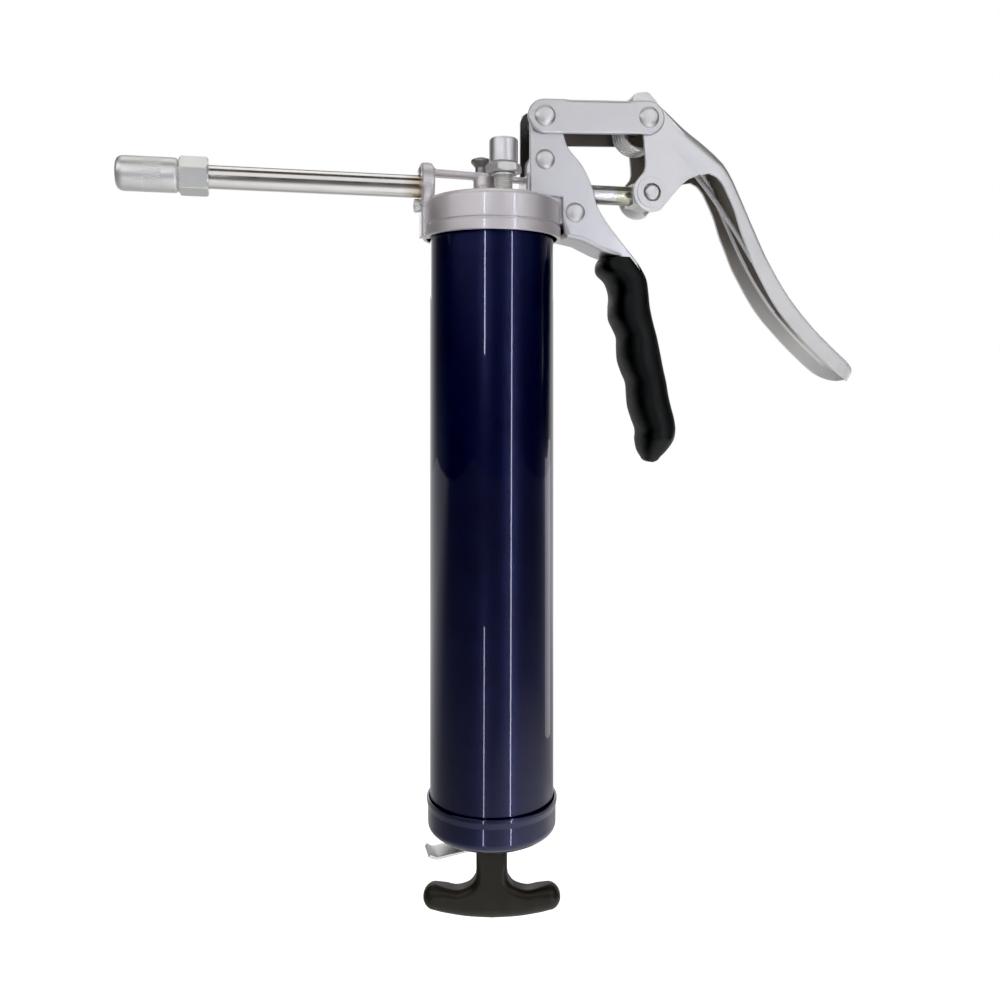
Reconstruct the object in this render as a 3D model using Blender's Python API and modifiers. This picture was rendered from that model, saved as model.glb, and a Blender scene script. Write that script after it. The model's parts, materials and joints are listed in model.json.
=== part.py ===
"""Pistol-grip grease gun: cartridge barrel, cast head, toggle lever, delivery pipe and coupler.

The origin is the middle of the barrel, on its axis. The pump axis crosses the barrel axis PUMP_HEIGHT
above it: +X runs from the barrel to the lever, -X runs along the delivery pipe, and +Z is up.
Places below are in millimetres from the point where the two axes cross; MM turns them into metres.
"""
from math import atan2, copysign, cos, hypot, pi, radians, sin, sqrt

import bmesh
import bpy
from mathutils import Matrix, Vector

MM = 0.001
GAP = 0.3                                   # clearance left between pieces that meet

# barrel and cap
PUMP_HEIGHT = 151.0                         # pump axis above the middle of the barrel
BARREL_R, BARREL_WALL = 28.5, 1.2
BARREL_TOP, BARREL_BOTTOM = -14.5, -287.8
CAP_TOP, CAP_FLOOR = -279.0, -296.7
CAP_LIP_R, CAP_R, CAP_WALL = 30.3, 29.5, 1.3

# follower, rod and handle
ROD_R, ROD_TOP = 3.0, -17.0
FOLLOWER_TOP, FOLLOWER_FOOT = -22.0, -40.0
HANDLE_TOP, HANDLE_FOOT = -303.5, -335.0
HANDLE_HALF_WIDTH, HANDLE_HALF_SPAN, HANDLE_DEPTH = 7.1, 31.7, 11.6
HANDLE_TURN = -12.5                         # how far the T-handle rests turned about the barrel axis
LOCK_PIVOT = (9.5, -298.3)

# head casting
SKIRT_R, SKIRT_BORE, SKIRT_FOOT = 31.9, 28.95, -23.2
ROOF_TOP, ROOF_UNDER = -4.4, -13.0
GALLERY_Z, GALLERY_R, GALLERY_SMALL_R = -8.7, 3.0, 1.9
EAR_HALF = 8.7                              # half width of the ear between the handle plates
PUMP_BORE_R, CHAMBER_END = 4.9, 17.0
BOSS_LEFT, BOSS_RIGHT, BOSS_R = -33.6, -27.9, 10.9

# delivery pipe and coupler
PIPE_R, PIPE_BORE = 5.15, 2.6
PIPE_END, PIPE_START = -130.7, -30.6
HEX_LEFT, HEX_RIGHT, HEX_FLATS, HEX_TURN = -138.2, -125.9, 15.0, 13.4
SLEEVE_R, SLEEVE_BORE, SLEEVE_TIP, MOUTH_R = 7.55, 6.5, -164.0, 4.6

# handle plates, link and lever
PLATE_OUT, PLATE_IN = 11.0, 9.0
LINK_OUT, LINK_IN, LINK_R = 13.3, 11.3, 7.8
PIN_A, PIN_B, PIN_C = (22.0, 32.3), (72.1, 34.5), (74.3, 0.0)
RIVETS = {"upper": (22.6, 12.9), "lower": (36.9, -10.9)}
PIN_R, PIN_HOLE, PIN_C_R, PIN_C_HOLE = 3.2, 3.5, 3.4, 4.3
EAR_OUT, EAR_IN = 10.9, 9.3
PLUNGER_R, PLUNGER_TIP = 4.5, 31.5

# valves on the roof
BLEEDER, FILLER = (3.2, -10.5), (-2.6, 11.5)

PLACES = {}                                 # where each parent empty stands


def start_scene():
    """Empty the scene and make the collections of parts and cutters."""
    for old in list(bpy.data.objects):
        bpy.data.objects.remove(old, do_unlink=True)
    made = [bpy.data.collections.new(name) for name in ("grease_gun", "cutters")]
    for collection in made:
        bpy.context.scene.collection.children.link(collection)
    return made


PARTS, CUTTERS = start_scene()


def material(name, colour, roughness, metallic):
    made = bpy.data.materials.new(name)
    made.use_nodes = True
    shader = made.node_tree.nodes["Principled BSDF"]
    shader.inputs["Base Color"].default_value = (*colour, 1)
    shader.inputs["Roughness"].default_value = roughness
    shader.inputs["Metallic"].default_value = metallic
    return made


NAVY = material("navy_enamel", (0.012, 0.014, 0.075), 0.18, 0.3)
CAST = material("cast_aluminium", (0.62, 0.60, 0.61), 0.42, 1)
CHROME = material("chrome", (0.74, 0.74, 0.75), 0.16, 1)
STEEL = material("steel", (0.56, 0.53, 0.50), 0.28, 1)
ZINC = material("zinc_plate", (0.66, 0.68, 0.65), 0.34, 1)
SPRING = material("spring_steel", (0.30, 0.30, 0.31), 0.35, 1)
GRIP = material("grip_rubber", (0.012, 0.012, 0.013), 0.6, 0)
PLASTIC = material("handle_plastic", (0.022, 0.018, 0.016), 0.45, 0)
SEAL = material("seal_rubber", (0.03, 0.03, 0.032), 0.7, 0)


def empty(name, place, parent=None):
    """A parent for the pieces that move together, standing on their joint's axis."""
    made = bpy.data.objects.new(name, None)
    PARTS.objects.link(made)
    PLACES[name] = Vector(place)
    made.parent = parent
    made.location = (PLACES[name] - PLACES[parent.name] if parent else PLACES[name]) * MM
    return made


def add(name, data, finish, at=(0, 0, 0), turn=(0, 0, 0), parent=None):
    """Put a mesh or curve in the parts collection, at a place in the gun's own millimetres."""
    made = bpy.data.objects.new(name, data)
    data.materials.append(finish)
    PARTS.objects.link(made)
    made.parent = parent or GUN
    made.location = (Vector(at) - PLACES[made.parent.name]) * MM
    made.rotation_euler = turn
    return made


def along(axis):
    """The turn that takes a piece's own Z to the axis named."""
    return {"X": (0, pi / 2, 0), "Y": (-pi / 2, 0, 0), "Z": (0, 0, 0)}[axis]


def arc(x, z, radius, start, end, steps=6):
    """Points on an arc, from one angle to another in degrees."""
    angles = [radians(start + (end - start) * i / steps) for i in range(steps + 1)]
    return [(x + radius * cos(a), z + radius * sin(a)) for a in angles]


def smooth(points, steps=4):
    """Points of a Catmull-Rom curve through the ones given."""
    ends = [points[0], *points, points[-1]]
    out = []
    for a, b, c, d in zip(ends, ends[1:], ends[2:], ends[3:]):
        for i in range(steps):
            t = i / steps
            out.append(tuple(
                0.5 * (2 * q + (r - p) * t + (2 * p - 5 * q + 4 * r - s) * t ** 2 + (3 * q - p - 3 * r + s) * t ** 3)
                for p, q, r, s in zip(a, b, c, d)
            ))
    return [*out, points[-1]]


def turned(name, profile, finish, at=(0, 0, 0), axis="Z", steps=24, parent=None):
    """A turned piece: its profile of (radius, height) runs down the outer side, top to bottom."""
    mesh = bpy.data.meshes.new(name)
    edges = [(i, i + 1) for i in range(len(profile) - 1)]
    if profile[0][0] > 0:
        edges.append((len(profile) - 1, 0))
    mesh.from_pydata([(r * MM, 0, z * MM) for r, z in profile], edges, [])
    made = add(name, mesh, finish, at, along(axis), parent)
    screw = made.modifiers.new("turn", "SCREW")
    screw.steps = screw.render_steps = steps
    screw.use_merge_vertices = True
    screw.merge_threshold = 0.00001
    return made


def ring(outer, inner, top, bottom):
    """The profile of a plain ring or tube."""
    return [(outer, top), (outer, bottom), (inner, bottom), (inner, top)]


def rod(name, radius, start, end, finish, at=(0, 0, 0), axis="Z", sides=24, roll=0.0, parent=None):
    """A cylinder or prism along an axis, from start to end on that axis."""
    bm = bmesh.new()
    bmesh.ops.create_cone(bm, cap_ends=True, segments=sides, radius1=radius * MM, radius2=radius * MM,
                          depth=(end - start) * MM)
    bmesh.ops.rotate(bm, cent=(0, 0, 0), matrix=Matrix.Rotation(radians(roll), 3, "Z"), verts=bm.verts)
    bmesh.ops.translate(bm, vec=(0, 0, (start + end) / 2 * MM), verts=bm.verts)
    mesh = bpy.data.meshes.new(name)
    bm.to_mesh(mesh)
    bm.free()
    return add(name, mesh, finish, at, along(axis), parent)


def box(name, low, high, finish):
    bm = bmesh.new()
    size = [(b - a) * MM for a, b in zip(low, high)]
    bmesh.ops.create_cube(bm, size=1, matrix=Matrix.Diagonal((*size, 1)))
    mesh = bpy.data.meshes.new(name)
    bm.to_mesh(mesh)
    bm.free()
    return add(name, mesh, finish, [(a + b) / 2 for a, b in zip(low, high)])


def plate(name, loops, thickness, finish, y=0.0, parent=None, rounding=0.0):
    """A flat outline in X and Z, with holes as further loops, as thick as said along Y."""
    curve = bpy.data.curves.new(name, "CURVE")
    curve.dimensions = "2D"
    curve.fill_mode = "BOTH"
    curve.extrude = (thickness / 2 - rounding) * MM
    curve.bevel_depth = rounding * MM
    curve.bevel_resolution = 1
    curve.offset = -rounding * MM
    curve.resolution_u = 1
    at = Vector((0, y, 0))
    origin = PLACES[(parent or GUN).name] if parent else Vector((0, 0, 0))
    for loop in loops:
        spline = curve.splines.new("POLY")
        spline.points.add(len(loop) - 1)
        spline.use_cyclic_u = True
        for point, (x, z) in zip(spline.points, loop):
            point.co = ((x - origin.x) * MM, (z - origin.z) * MM, 0, 1)
    return add(name, curve, finish, at + Vector((origin.x, 0, origin.z)), (pi / 2, 0, 0), parent)


def solid(curve_object):
    """Turn a curve into a welded mesh, so that it can be cut and joined."""
    bpy.context.view_layer.update()
    graph = bpy.context.evaluated_depsgraph_get()
    mesh = bpy.data.meshes.new_from_object(curve_object.evaluated_get(graph))
    bm = bmesh.new()
    bm.from_mesh(mesh)
    bmesh.ops.remove_doubles(bm, verts=bm.verts, dist=0.000001)
    bm.to_mesh(mesh)
    bm.free()
    name, parent = curve_object.name, curve_object.parent
    place, turn = curve_object.location.copy(), curve_object.rotation_euler.copy()
    bpy.data.objects.remove(curve_object, do_unlink=True)
    made = bpy.data.objects.new(name, mesh)
    PARTS.objects.link(made)
    made.parent, made.location, made.rotation_euler = parent, place, turn
    return made


def tool(target, cutter, operation="DIFFERENCE"):
    """Cut the target with another object, or join that object to it."""
    PARTS.objects.unlink(cutter)
    CUTTERS.objects.link(cutter)
    cutter.hide_render = True
    cutter.display_type = "WIRE"
    step = target.modifiers.new(cutter.name, "BOOLEAN")
    step.object = cutter
    step.operation = operation
    return target


def coil(name, points, wire, finish, parent=None):
    """A spring or bent wire through points worked out by its own function."""
    curve = bpy.data.curves.new(name, "CURVE")
    curve.dimensions = "3D"
    curve.bevel_depth = wire * MM
    curve.bevel_resolution = 1
    curve.use_fill_caps = True
    spline = curve.splines.new("POLY")
    spline.points.add(len(points) - 1)
    origin = PLACES[(parent or GUN).name]
    shift = origin if parent else Vector((0, 0, 0))
    for point, place in zip(spline.points, points):
        point.co = (*((Vector(place) - shift) * MM), 1)
    return add(name, curve, finish, shift, parent=parent)


def helix(start, end, start_r, end_r, turns, per_turn=12):
    """Points of a coil along +Z, whose radius runs evenly from one end to the other."""
    count = int(turns * per_turn)
    out = []
    for i in range(count + 1):
        t, angle = i / count, 2 * pi * i / per_turn
        radius = start_r + (end_r - start_r) * t
        out.append((radius * cos(angle), radius * sin(angle), start + (end - start) * t))
    return out


def ribbon(points, thickness):
    """The closed outline of a strip of even thickness that follows a line of points."""
    above, below = [], []
    for i, (x, z) in enumerate(points):
        before, after = points[max(i - 1, 0)], points[min(i + 1, len(points) - 1)]
        run = hypot(after[0] - before[0], after[1] - before[1])
        nx, nz = -(after[1] - before[1]) / run, (after[0] - before[0]) / run
        above.append((x + nx * thickness / 2, z + nz * thickness / 2))
        below.append((x - nx * thickness / 2, z - nz * thickness / 2))
    return above + below[::-1]


def loft(name, sections, finish, parent=None):
    """A closed body through unlike sections that all have the same number of points."""
    bm = bmesh.new()
    origin = PLACES[(parent or GUN).name] if parent else Vector((0, 0, 0))
    rows = [[bm.verts.new((Vector(p) - origin) * MM) for p in section] for section in sections]
    for low, high in zip(rows, rows[1:]):
        for i in range(len(low)):
            j = (i + 1) % len(low)
            bm.faces.new((low[i], low[j], high[j], high[i]))
    bm.faces.new(rows[0][::-1])
    bm.faces.new(rows[-1])
    bmesh.ops.recalc_face_normals(bm, faces=bm.faces)
    mesh = bpy.data.meshes.new(name)
    bm.to_mesh(mesh)
    bm.free()
    return add(name, mesh, finish, origin, parent=parent)


GUN = empty("gun", (0, 0, 0))
GUN.location = (0, 0, PUMP_HEIGHT * MM)
HEAD = empty("head_axis", (0, 0, 0), GUN)
ROD = empty("rod_axis", (0, 0, 0), GUN)
LOCK = empty("lock_axis", (LOCK_PIVOT[0], 0, LOCK_PIVOT[1]), GUN)
LINK = empty("link_axis", (PIN_A[0], 0, PIN_A[1]), HEAD)
LEVER = empty("lever_axis", (PIN_B[0], 0, PIN_B[1]), LINK)
PLUNGER = empty("plunger_axis", (PIN_C[0], 0, PIN_C[1]), HEAD)
KNOB = empty("knob_axis", (*BLEEDER, 0), HEAD)


# barrel, cap and lock -------------------------------------------------------------------------------

def make_barrel():
    turned("barrel_tube", ring(BARREL_R, BARREL_R - BARREL_WALL, BARREL_TOP, BARREL_BOTTOM), NAVY, steps=48)


def make_cap():
    """The pressed cap: a lip round the tube, a rounded foot, and a hole for the rod."""
    foot_r = 8.0
    centre = (CAP_R - foot_r, CAP_FLOOR + foot_r)
    hole = ROD_R + 0.6
    outside = [(CAP_LIP_R, CAP_TOP), (CAP_LIP_R, CAP_TOP - 4), (CAP_R, CAP_TOP - 5)]
    outside += arc(*centre, foot_r, 0, -90, 4) + [(hole, CAP_FLOOR)]
    inside = [(hole, CAP_FLOOR + CAP_WALL)] + arc(*centre, foot_r - CAP_WALL, -90, 0, 3)
    inside += [(BARREL_R + GAP, centre[1] + 0.4), (BARREL_R + GAP, CAP_TOP)]
    turned("end_cap", outside + inside, NAVY, steps=40)
    turned("rod_guide_washer", ring(9.0, ROD_R + GAP, CAP_FLOOR + CAP_WALL + 2.1, CAP_FLOOR + CAP_WALL + GAP), ZINC)


def make_lock():
    """The rod lock: a tilted strip that grips the rod, and the leaf that pushes it down."""
    line = [(LOCK_PIVOT[0] + 1.5, -298.2), (LOCK_PIVOT[0], -298.4), (-22.0, -303.4), (-27.5, -304.0),
            (-30.0, -302.6)]
    strip = solid(plate("lock_lever", [ribbon(line, 1.6)], 12.0, ZINC, parent=LOCK))
    tool(strip, rod("lock_hole", ROD_R + 1.0, -310, -290, ZINC))
    leaf = [(-6.5, -297.3), (-17.5, -297.3), (-19.8, -298.4), (-19.0, -299.7), (-13.5, -300.4)]
    plate("lock_spring", [ribbon(leaf, 0.4)], 8.0, SPRING)


# follower, rod and T-handle -------------------------------------------------------------------------

def make_follower():
    lip_r, body_r = BARREL_R - BARREL_WALL - GAP, 25.6
    disc_top, disc_foot = -27.0, -29.5
    hole = ROD_R + GAP
    cup = [(lip_r, FOLLOWER_TOP), (lip_r, FOLLOWER_FOOT), (body_r, FOLLOWER_FOOT), (body_r - 0.6, disc_foot),
           (hole, disc_foot), (hole, disc_top), (body_r - 0.6, disc_top), (body_r, FOLLOWER_TOP)]
    turned("follower_cup", cup, SEAL, steps=36, parent=ROD)
    turned("follower_plate", ring(19.0, hole, disc_foot - GAP, disc_foot - GAP - 1.5), ZINC, parent=ROD)


def make_rod():
    shoulder = -31.7
    profile = [(0, ROD_TOP), (ROD_R, ROD_TOP), (ROD_R, shoulder), (ROD_R + 2, shoulder),
               (ROD_R + 2, shoulder - 2.4), (ROD_R, shoulder - 2.4), (ROD_R, -324.0), (0, -324.0)]
    turned("follower_rod", profile, STEEL, steps=16, parent=ROD)
    nut = rod("rod_end_nut", 5.8, -26.6, -21.6, ZINC, sides=6, parent=ROD)
    tool(nut, rod("nut_bore", ROD_R + GAP, -40, 0, ZINC, sides=16))


def make_t_handle():
    """The moulded T-handle: a stem that flares into two wings with turned-up ends."""
    left_side = [(-HANDLE_HALF_WIDTH, HANDLE_TOP), (-HANDLE_HALF_WIDTH, -314.5)]
    flare = smooth([(-7.5, -317.2), (-10.4, -320.8), (-16.0, -322.5), (-21.0, -321.6)], 2)
    tip = arc(-HANDLE_HALF_SPAN + 6.0, -326.4, 6.0, 96, 245, 6)
    foot = smooth([(-23.0, -333.7), (-12.0, -334.7), (0.0, HANDLE_FOOT)], 2)
    half = left_side + flare + tip + foot
    outline = half + [(-x, z) for x, z in half[-2::-1]]
    handle = solid(plate("t_handle", [outline], HANDLE_DEPTH, PLASTIC, parent=ROD, rounding=3.2))
    handle.rotation_euler.z = radians(HANDLE_TURN)
    tool(handle, rod("handle_bore", ROD_R + GAP, -324.4, -300, PLASTIC, sides=16))


def make_follower_spring():
    foot = CAP_FLOOR + CAP_WALL + 1.9
    coil("follower_spring", helix(foot, -32.9, 20.6, 14.0, 12, 10), 1.2, SPRING)


# head casting ---------------------------------------------------------------------------------------

def make_head():
    """The cast head: roof and skirt, outlet boss, carrying bar, neck and the ear with the pump bore."""
    rim = [(0, ROOF_TOP), (SKIRT_R - 1.7, ROOF_TOP), (SKIRT_R - 0.3, ROOF_TOP - 1.8), (SKIRT_R - 0.3, -17.2),
           (SKIRT_R - 0.9, -17.8), (SKIRT_R, -18.4), (SKIRT_R, SKIRT_FOOT), (SKIRT_BORE, SKIRT_FOOT),
           (SKIRT_BORE, ROOF_UNDER), (0, ROOF_UNDER)]
    head = turned("head_casting", rim, CAST, steps=48, parent=HEAD)
    tool(head, rod("outlet_boss", BOSS_R, BOSS_LEFT, BOSS_RIGHT, CAST, axis="X", sides=28), "UNION")
    tool(head, box("boss_rib", (BOSS_LEFT + 0.4, -5.2, SKIRT_FOOT + 0.1), (-29.3, 5.2, -6.0), CAST), "UNION")
    tool(head, box("carrying_bar", (-29.0, -3.1, 4.6), (18.0, 3.1, 7.9), CAST), "UNION")
    neck = [(0, 5.0), (4.0, 5.0), (4.3, -1.0), (5.4, ROOF_TOP - 0.4), (0, ROOF_TOP - 0.4)]
    tool(head, turned("neck", neck, CAST, at=(-1.0, 1.0, 0), steps=20), "UNION")
    block = [(14.6, -6.0), (14.6, 9.0), *arc(*RIVETS["upper"], 6.2, 165, 60, 5), (33.0, 11.0), (41.5, 8.4),
             (41.5, -16.0), (29.9, -16.0), (29.9, -9.0)]
    tool(head, solid(plate("pump_ear", [block], 2 * EAR_HALF, CAST)), "UNION")
    tool(head, rod("pump_bore", PUMP_BORE_R, CHAMBER_END, 50, CAST, axis="X"))
    tool(head, rod("gland_bore", 6.6, 33, 50, CAST, axis="X"))
    tool(head, rod("inlet_port", 1.9, -20, 0, CAST, at=(25, 0, 0), sides=12))
    tool(head, rod("outlet_port", 1.5, GALLERY_Z, -3, CAST, at=(18.7, 0, 0), sides=12))
    tool(head, rod("gallery", GALLERY_SMALL_R, -20, 19.6, CAST, at=(0, 0, GALLERY_Z), axis="X", sides=12))
    tool(head, rod("valve_bore", GALLERY_R, -40, -15, CAST, at=(0, 0, GALLERY_Z), axis="X", sides=16))
    tool(head, rod("pipe_socket", PIPE_R + GAP, -40, -28.7, CAST, axis="X"))
    tool(head, rod("riser", 1.0, GALLERY_Z, -3, CAST, at=(-29.7, 0, 0), sides=10))
    tool(head, rod("bleeder_hole", 3.6, -20, 0, CAST, at=(*BLEEDER, 0), sides=16))
    tool(head, rod("filler_hole", 3.3, -20, 0, CAST, at=(*FILLER, 0), sides=16))
    for name, place in RIVETS.items():
        hole = rod(f"{name}_rivet_hole", PIN_R + GAP, -20, 20, CAST, at=(place[0], 0, place[1]), axis="Y",
                   sides=16)
        tool(head, hole)


def make_head_fittings():
    turned("head_gasket", ring(28.6, 26.6, ROOF_UNDER - GAP, BARREL_TOP + GAP), SEAL, steps=36)
    plug = [(0, -27.4), (1.2, -27.4), (1.2, -31.8), (2.7, -31.8), (2.7, BOSS_LEFT - GAP), (3.1, BOSS_LEFT - GAP),
            (3.1, -36.2), (0, -36.2)]
    turned("gallery_plug", plug, ZINC, at=(0, 0, GALLERY_Z), axis="X", steps=16, parent=HEAD)
    coil("check_spring", [(z, x, y + GALLERY_Z) for x, y, z in helix(-20.9, -26.9, 2.0, 2.0, 4, 8)][::-1], 0.32,
         SPRING, parent=HEAD)
    ball = bmesh.new()
    bmesh.ops.create_icosphere(ball, subdivisions=2, radius=2.5 * MM)
    mesh = bpy.data.meshes.new("check_ball")
    ball.to_mesh(mesh)
    ball.free()
    add("check_ball", mesh, STEEL, (-17.1, 0, GALLERY_Z), parent=HEAD)
    turned("plunger_seal", ring(6.3, PLUNGER_R + GAP, 36.4, 33.4), SEAL, axis="X", parent=HEAD)
    gland = rod("gland_nut", 8.6, 41.8, 45.2, ZINC, axis="X", sides=6, roll=30, parent=HEAD)
    tool(gland, rod("gland_thread", 6.3, 36.8, 43.0, ZINC, axis="X"), "UNION")
    tool(gland, rod("gland_hole", PLUNGER_R + GAP, 30, 50, ZINC, axis="X"))


def make_bleeder():
    """The air-bleeder valve: a threaded stem with a hexagon, and the knob that opens it."""
    stem = rod("bleeder_stem", 3.25, -9.0, 8.0, ZINC, at=(*BLEEDER, 0), sides=20, parent=HEAD)
    tool(stem, rod("bleeder_hexagon", 8.1, 4.4, 9.0, ZINC, at=(*BLEEDER, 0), sides=6, roll=30), "UNION")
    tool(stem, rod("bleeder_pilot", 2.2, 8.0, 14.0, ZINC, at=(*BLEEDER, 0), sides=16), "UNION")
    turned("bleeder_washer", ring(6.9, 3.6, 4.1, 3.1), ZINC, at=(*BLEEDER, 0), parent=HEAD)
    knob = [(0, 21.2), (5.7, 21.2), (6.4, 20.4), (6.4, 10.6), (5.4, 10.2), (5.4, 9.3), (2.5, 9.3), (2.5, 15.0),
            (0, 15.0)]
    turned("bleeder_knob", knob, CHROME, parent=KNOB, at=(*BLEEDER, 0))


def make_filler():
    nipple = [(0, 17.0), (3.6, 17.0), (4.6, 16.0), (4.6, 13.4), (2.7, 12.2), (2.7, 10.4), (4.3, 9.4), (4.3, 1.5),
              (3.0, 1.0), (3.0, -8.6), (0, -8.6)]
    made = turned("filler_nipple", nipple, ZINC, at=(*FILLER, 0), steps=20, parent=HEAD)
    tool(made, rod("filler_hexagon", 5.6, ROOF_TOP + GAP, 1.4, ZINC, at=(*FILLER, 0), sides=6, roll=30), "UNION")


# delivery pipe and coupler --------------------------------------------------------------------------

def make_pipe():
    turned("delivery_pipe", ring(PIPE_R, PIPE_BORE, PIPE_START, PIPE_END), STEEL, axis="X", parent=HEAD)


def make_coupler():
    """The coupler: a hexagon body with a threaded stem, the sleeve on it, and the sprung jaws inside."""
    corner = HEX_FLATS / sqrt(3)
    body = rod("coupler_body", corner, HEX_LEFT, HEX_RIGHT, ZINC, axis="X", sides=6, roll=-HEX_TURN,
               parent=HEAD)
    tool(body, rod("coupler_stem", 6.2, -148.5, -137.0, ZINC, axis="X"), "UNION")
    tool(body, rod("coupler_pipe_bore", PIPE_R + GAP, -131, -120, ZINC, axis="X"))
    tool(body, rod("coupler_bore", PIPE_BORE, -140, -130, ZINC, axis="X", sides=16))
    tool(body, rod("coupler_spring_bore", 4.3, -150, -139.0, ZINC, axis="X", sides=20))
    sleeve = [(SLEEVE_R - 0.7, HEX_LEFT - GAP), (SLEEVE_R, HEX_LEFT - 1.2), (SLEEVE_R, SLEEVE_TIP + 3.0),
              (SLEEVE_R - 0.7, SLEEVE_TIP + 1.2), (SLEEVE_R - 2.0, SLEEVE_TIP), (MOUTH_R - 0.6, SLEEVE_TIP),
              (MOUTH_R - 0.6, SLEEVE_TIP + 1.4), (SLEEVE_BORE, SLEEVE_TIP + 4.0), (SLEEVE_BORE, HEX_LEFT - GAP)]
    turned("coupler_sleeve", sleeve, ZINC, axis="X", steps=28, parent=HEAD)
    jaws = [(6.1, -151.6), (6.1, -159.4), (4.3, -161.9), (3.3, -161.9), (3.3, -151.6)]
    collet = turned("coupler_jaws", jaws, STEEL, axis="X", parent=HEAD)
    for number, across in enumerate(((20, 0.8), (0.8, 20))):
        half_y, half_z = across[0] / 2, across[1] / 2
        slit = box(f"jaw_slit_{number}", (-170, -half_y, -half_z), (-154, half_y, half_z), STEEL)
        tool(collet, slit)
    seal = [(4.0, -148.6), (4.0, -150.8), (5.6, -151.0), (5.6, -151.3), (1.0, -151.3), (1.0, -148.6)]
    turned("coupler_seal", seal, SEAL, axis="X", steps=20, parent=HEAD)
    coil("coupler_spring", [(z, x, y) for x, y, z in helix(-139.8, -147.8, 3.4, 3.4, 4, 8)], 0.4, SPRING,
         parent=HEAD)


# handle plates, grip, link and lever ----------------------------------------------------------------

TANG_FRONT = [(57.4, -30.6), (60.8, -42.0), (62.6, -60.0), (66.5, -80.0), (70.3, -98.0), (72.3, -106.0)]
TANG_HALF = 8.0
TANG_END = arc(77.2, -106.0, 5.0, 200, 380, 5)
TANG_BACK = [(82.4, -103.0), (81.6, -95.0), (79.6, -85.0), (75.6, -66.0), (72.6, -50.0), (70.4, -40.0)]


def make_handle_frame():
    """The pressed channel that carries the pivots and runs down inside the grip."""
    back = [(66.8, -32.2), (58.3, -22.4), (51.8, -14.2), (47.8, -7.5), (45.4, 0.9), (40.6, 10.6), (34.3, 17.9),
            (31.9, 23.8), (30.4, 31.0)]
    outline = arc(23.0, 33.0, 7.4, 10, 170, 6) + [(15.7, 30.0), (15.7, ROOF_TOP + 0.4), (32.5, ROOF_TOP + 0.4),
                                                 (32.5, -22.0), (40.6, -23.8), (50.2, -28.1)]
    outline += [(57.4, -30.6), (59.4, -36.6), (68.9, -36.6)] + smooth(back, 3)[:-1]
    inner = [(5, 60), (5, -10), (31, -10), (31, -20.0), (40.2, -21.8), (49.5, -26.1), (58.8, -29.4),
             (60.8, -34.6), (75, -34.6), (75, 60)]
    tang = smooth(TANG_FRONT, 2) + TANG_END + smooth(TANG_BACK, 2) + [(66.8, -33.0)]
    hollow = [(x + 2.0, z + 0.6) for x, z in smooth(TANG_FRONT, 2)[:-1]] + [(76.0, -105.0), (110, -105), (110, -20)]
    frame = solid(plate("handle_frame", [outline], 2 * PLATE_OUT, CHROME, parent=HEAD))
    tool(frame, solid(plate("tang", [tang], 2 * TANG_HALF, CHROME)), "UNION")
    tool(frame, solid(plate("frame_channel", [inner], 2 * PLATE_IN, CHROME)))
    tool(frame, solid(plate("tang_channel", [hollow], 2 * TANG_HALF - 3.6, CHROME)))
    for name, place in {"pin_a": PIN_A, **RIVETS}.items():
        tool(frame, rod(f"frame_{name}_hole", PIN_R + GAP, -20, 20, CHROME, at=(place[0], 0, place[1]), axis="Y",
                        sides=16))


def make_grip():
    """The moulded grip: four finger swells on its front, a smooth back and a rounded end."""
    heights = [-30.6, -33.5, -37.0, -41.0, -47.0, -53.0, -58.5, -63.0, -67.0, -72.0, -78.0, -83.5, -88.8, -95.0,
               -100.5, -106.0, -111.4, -116.5, -121.0, -124.5, -126.6]
    front = [52.3, 51.1, 51.7, 55.9, 58.0, 57.7, 57.9, 60.1, 61.9, 62.0, 62.4, 64.3, 66.6, 67.1, 67.7, 69.5, 71.5,
             71.4, 71.9, 73.7, 76.7]
    back = [67.9, 70.3, 72.4, 74.0, 74.8, 75.5, 76.7, 77.8, 78.9, 80.1, 81.4, 82.5, 83.7, 84.8, 86.2, 87.7, 88.3,
            87.2, 84.5, 81.3, 77.5]
    sections = []
    for z, x0, x1 in zip(heights, front, back):
        half_y = 13.4 * min(1.0, sqrt(max(0.1, (z + 128.5) / 12.0)))
        centre, half_x = (x0 + x1) / 2, (x1 - x0) / 2
        ring_points = []
        for i in range(20):
            a = 2 * pi * i / 20
            px = centre + half_x * copysign(abs(cos(a)) ** 0.78, cos(a))
            py = half_y * copysign(abs(sin(a)) ** 0.78, sin(a))
            ring_points.append((px, py, z))
        sections.append(ring_points)
    grip = loft("grip_sleeve", sections, GRIP, parent=HEAD)
    slack = 2 * GAP
    mouth = [(55.6, -28.0), (58.8, -37.2), (69.6, -37.2), (64.6, -28.0)]
    pocket = [(x - slack, z) for x, z in smooth(TANG_FRONT, 2)] + arc(77.2, -106.0, 5.0 + slack, 200, 380, 5)
    pocket += [(x + slack, z) for x, z in smooth(TANG_BACK, 2)] + [(67.4, -30.0)]
    tool(grip, solid(plate("grip_mouth", [mouth], 2 * (PLATE_OUT + GAP), GRIP)))
    tool(grip, solid(plate("grip_pocket", [pocket], 2 * (TANG_HALF + GAP), GRIP)))


def domed_pin(name, place, shank_r, head_in, head_r, parent, dome=1.7):
    """A pin with a domed head past each side plate."""
    steps = 3
    sag = [(head_r * cos(i * pi / 2 / steps), dome * sin(i * pi / 2 / steps)) for i in range(steps + 1)]
    top = [(r, head_in + 0.2 + rise) for r, rise in sag[::-1]]
    side = [(head_r, head_in), (shank_r, head_in)]
    half = [(0, top[0][1]), *top[1:], *side]
    profile = half + [(r, -z) for r, z in half[::-1]]
    turned(name, profile, STEEL, at=(place[0], 0, place[1]), axis="Y", steps=16, parent=parent)


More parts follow.
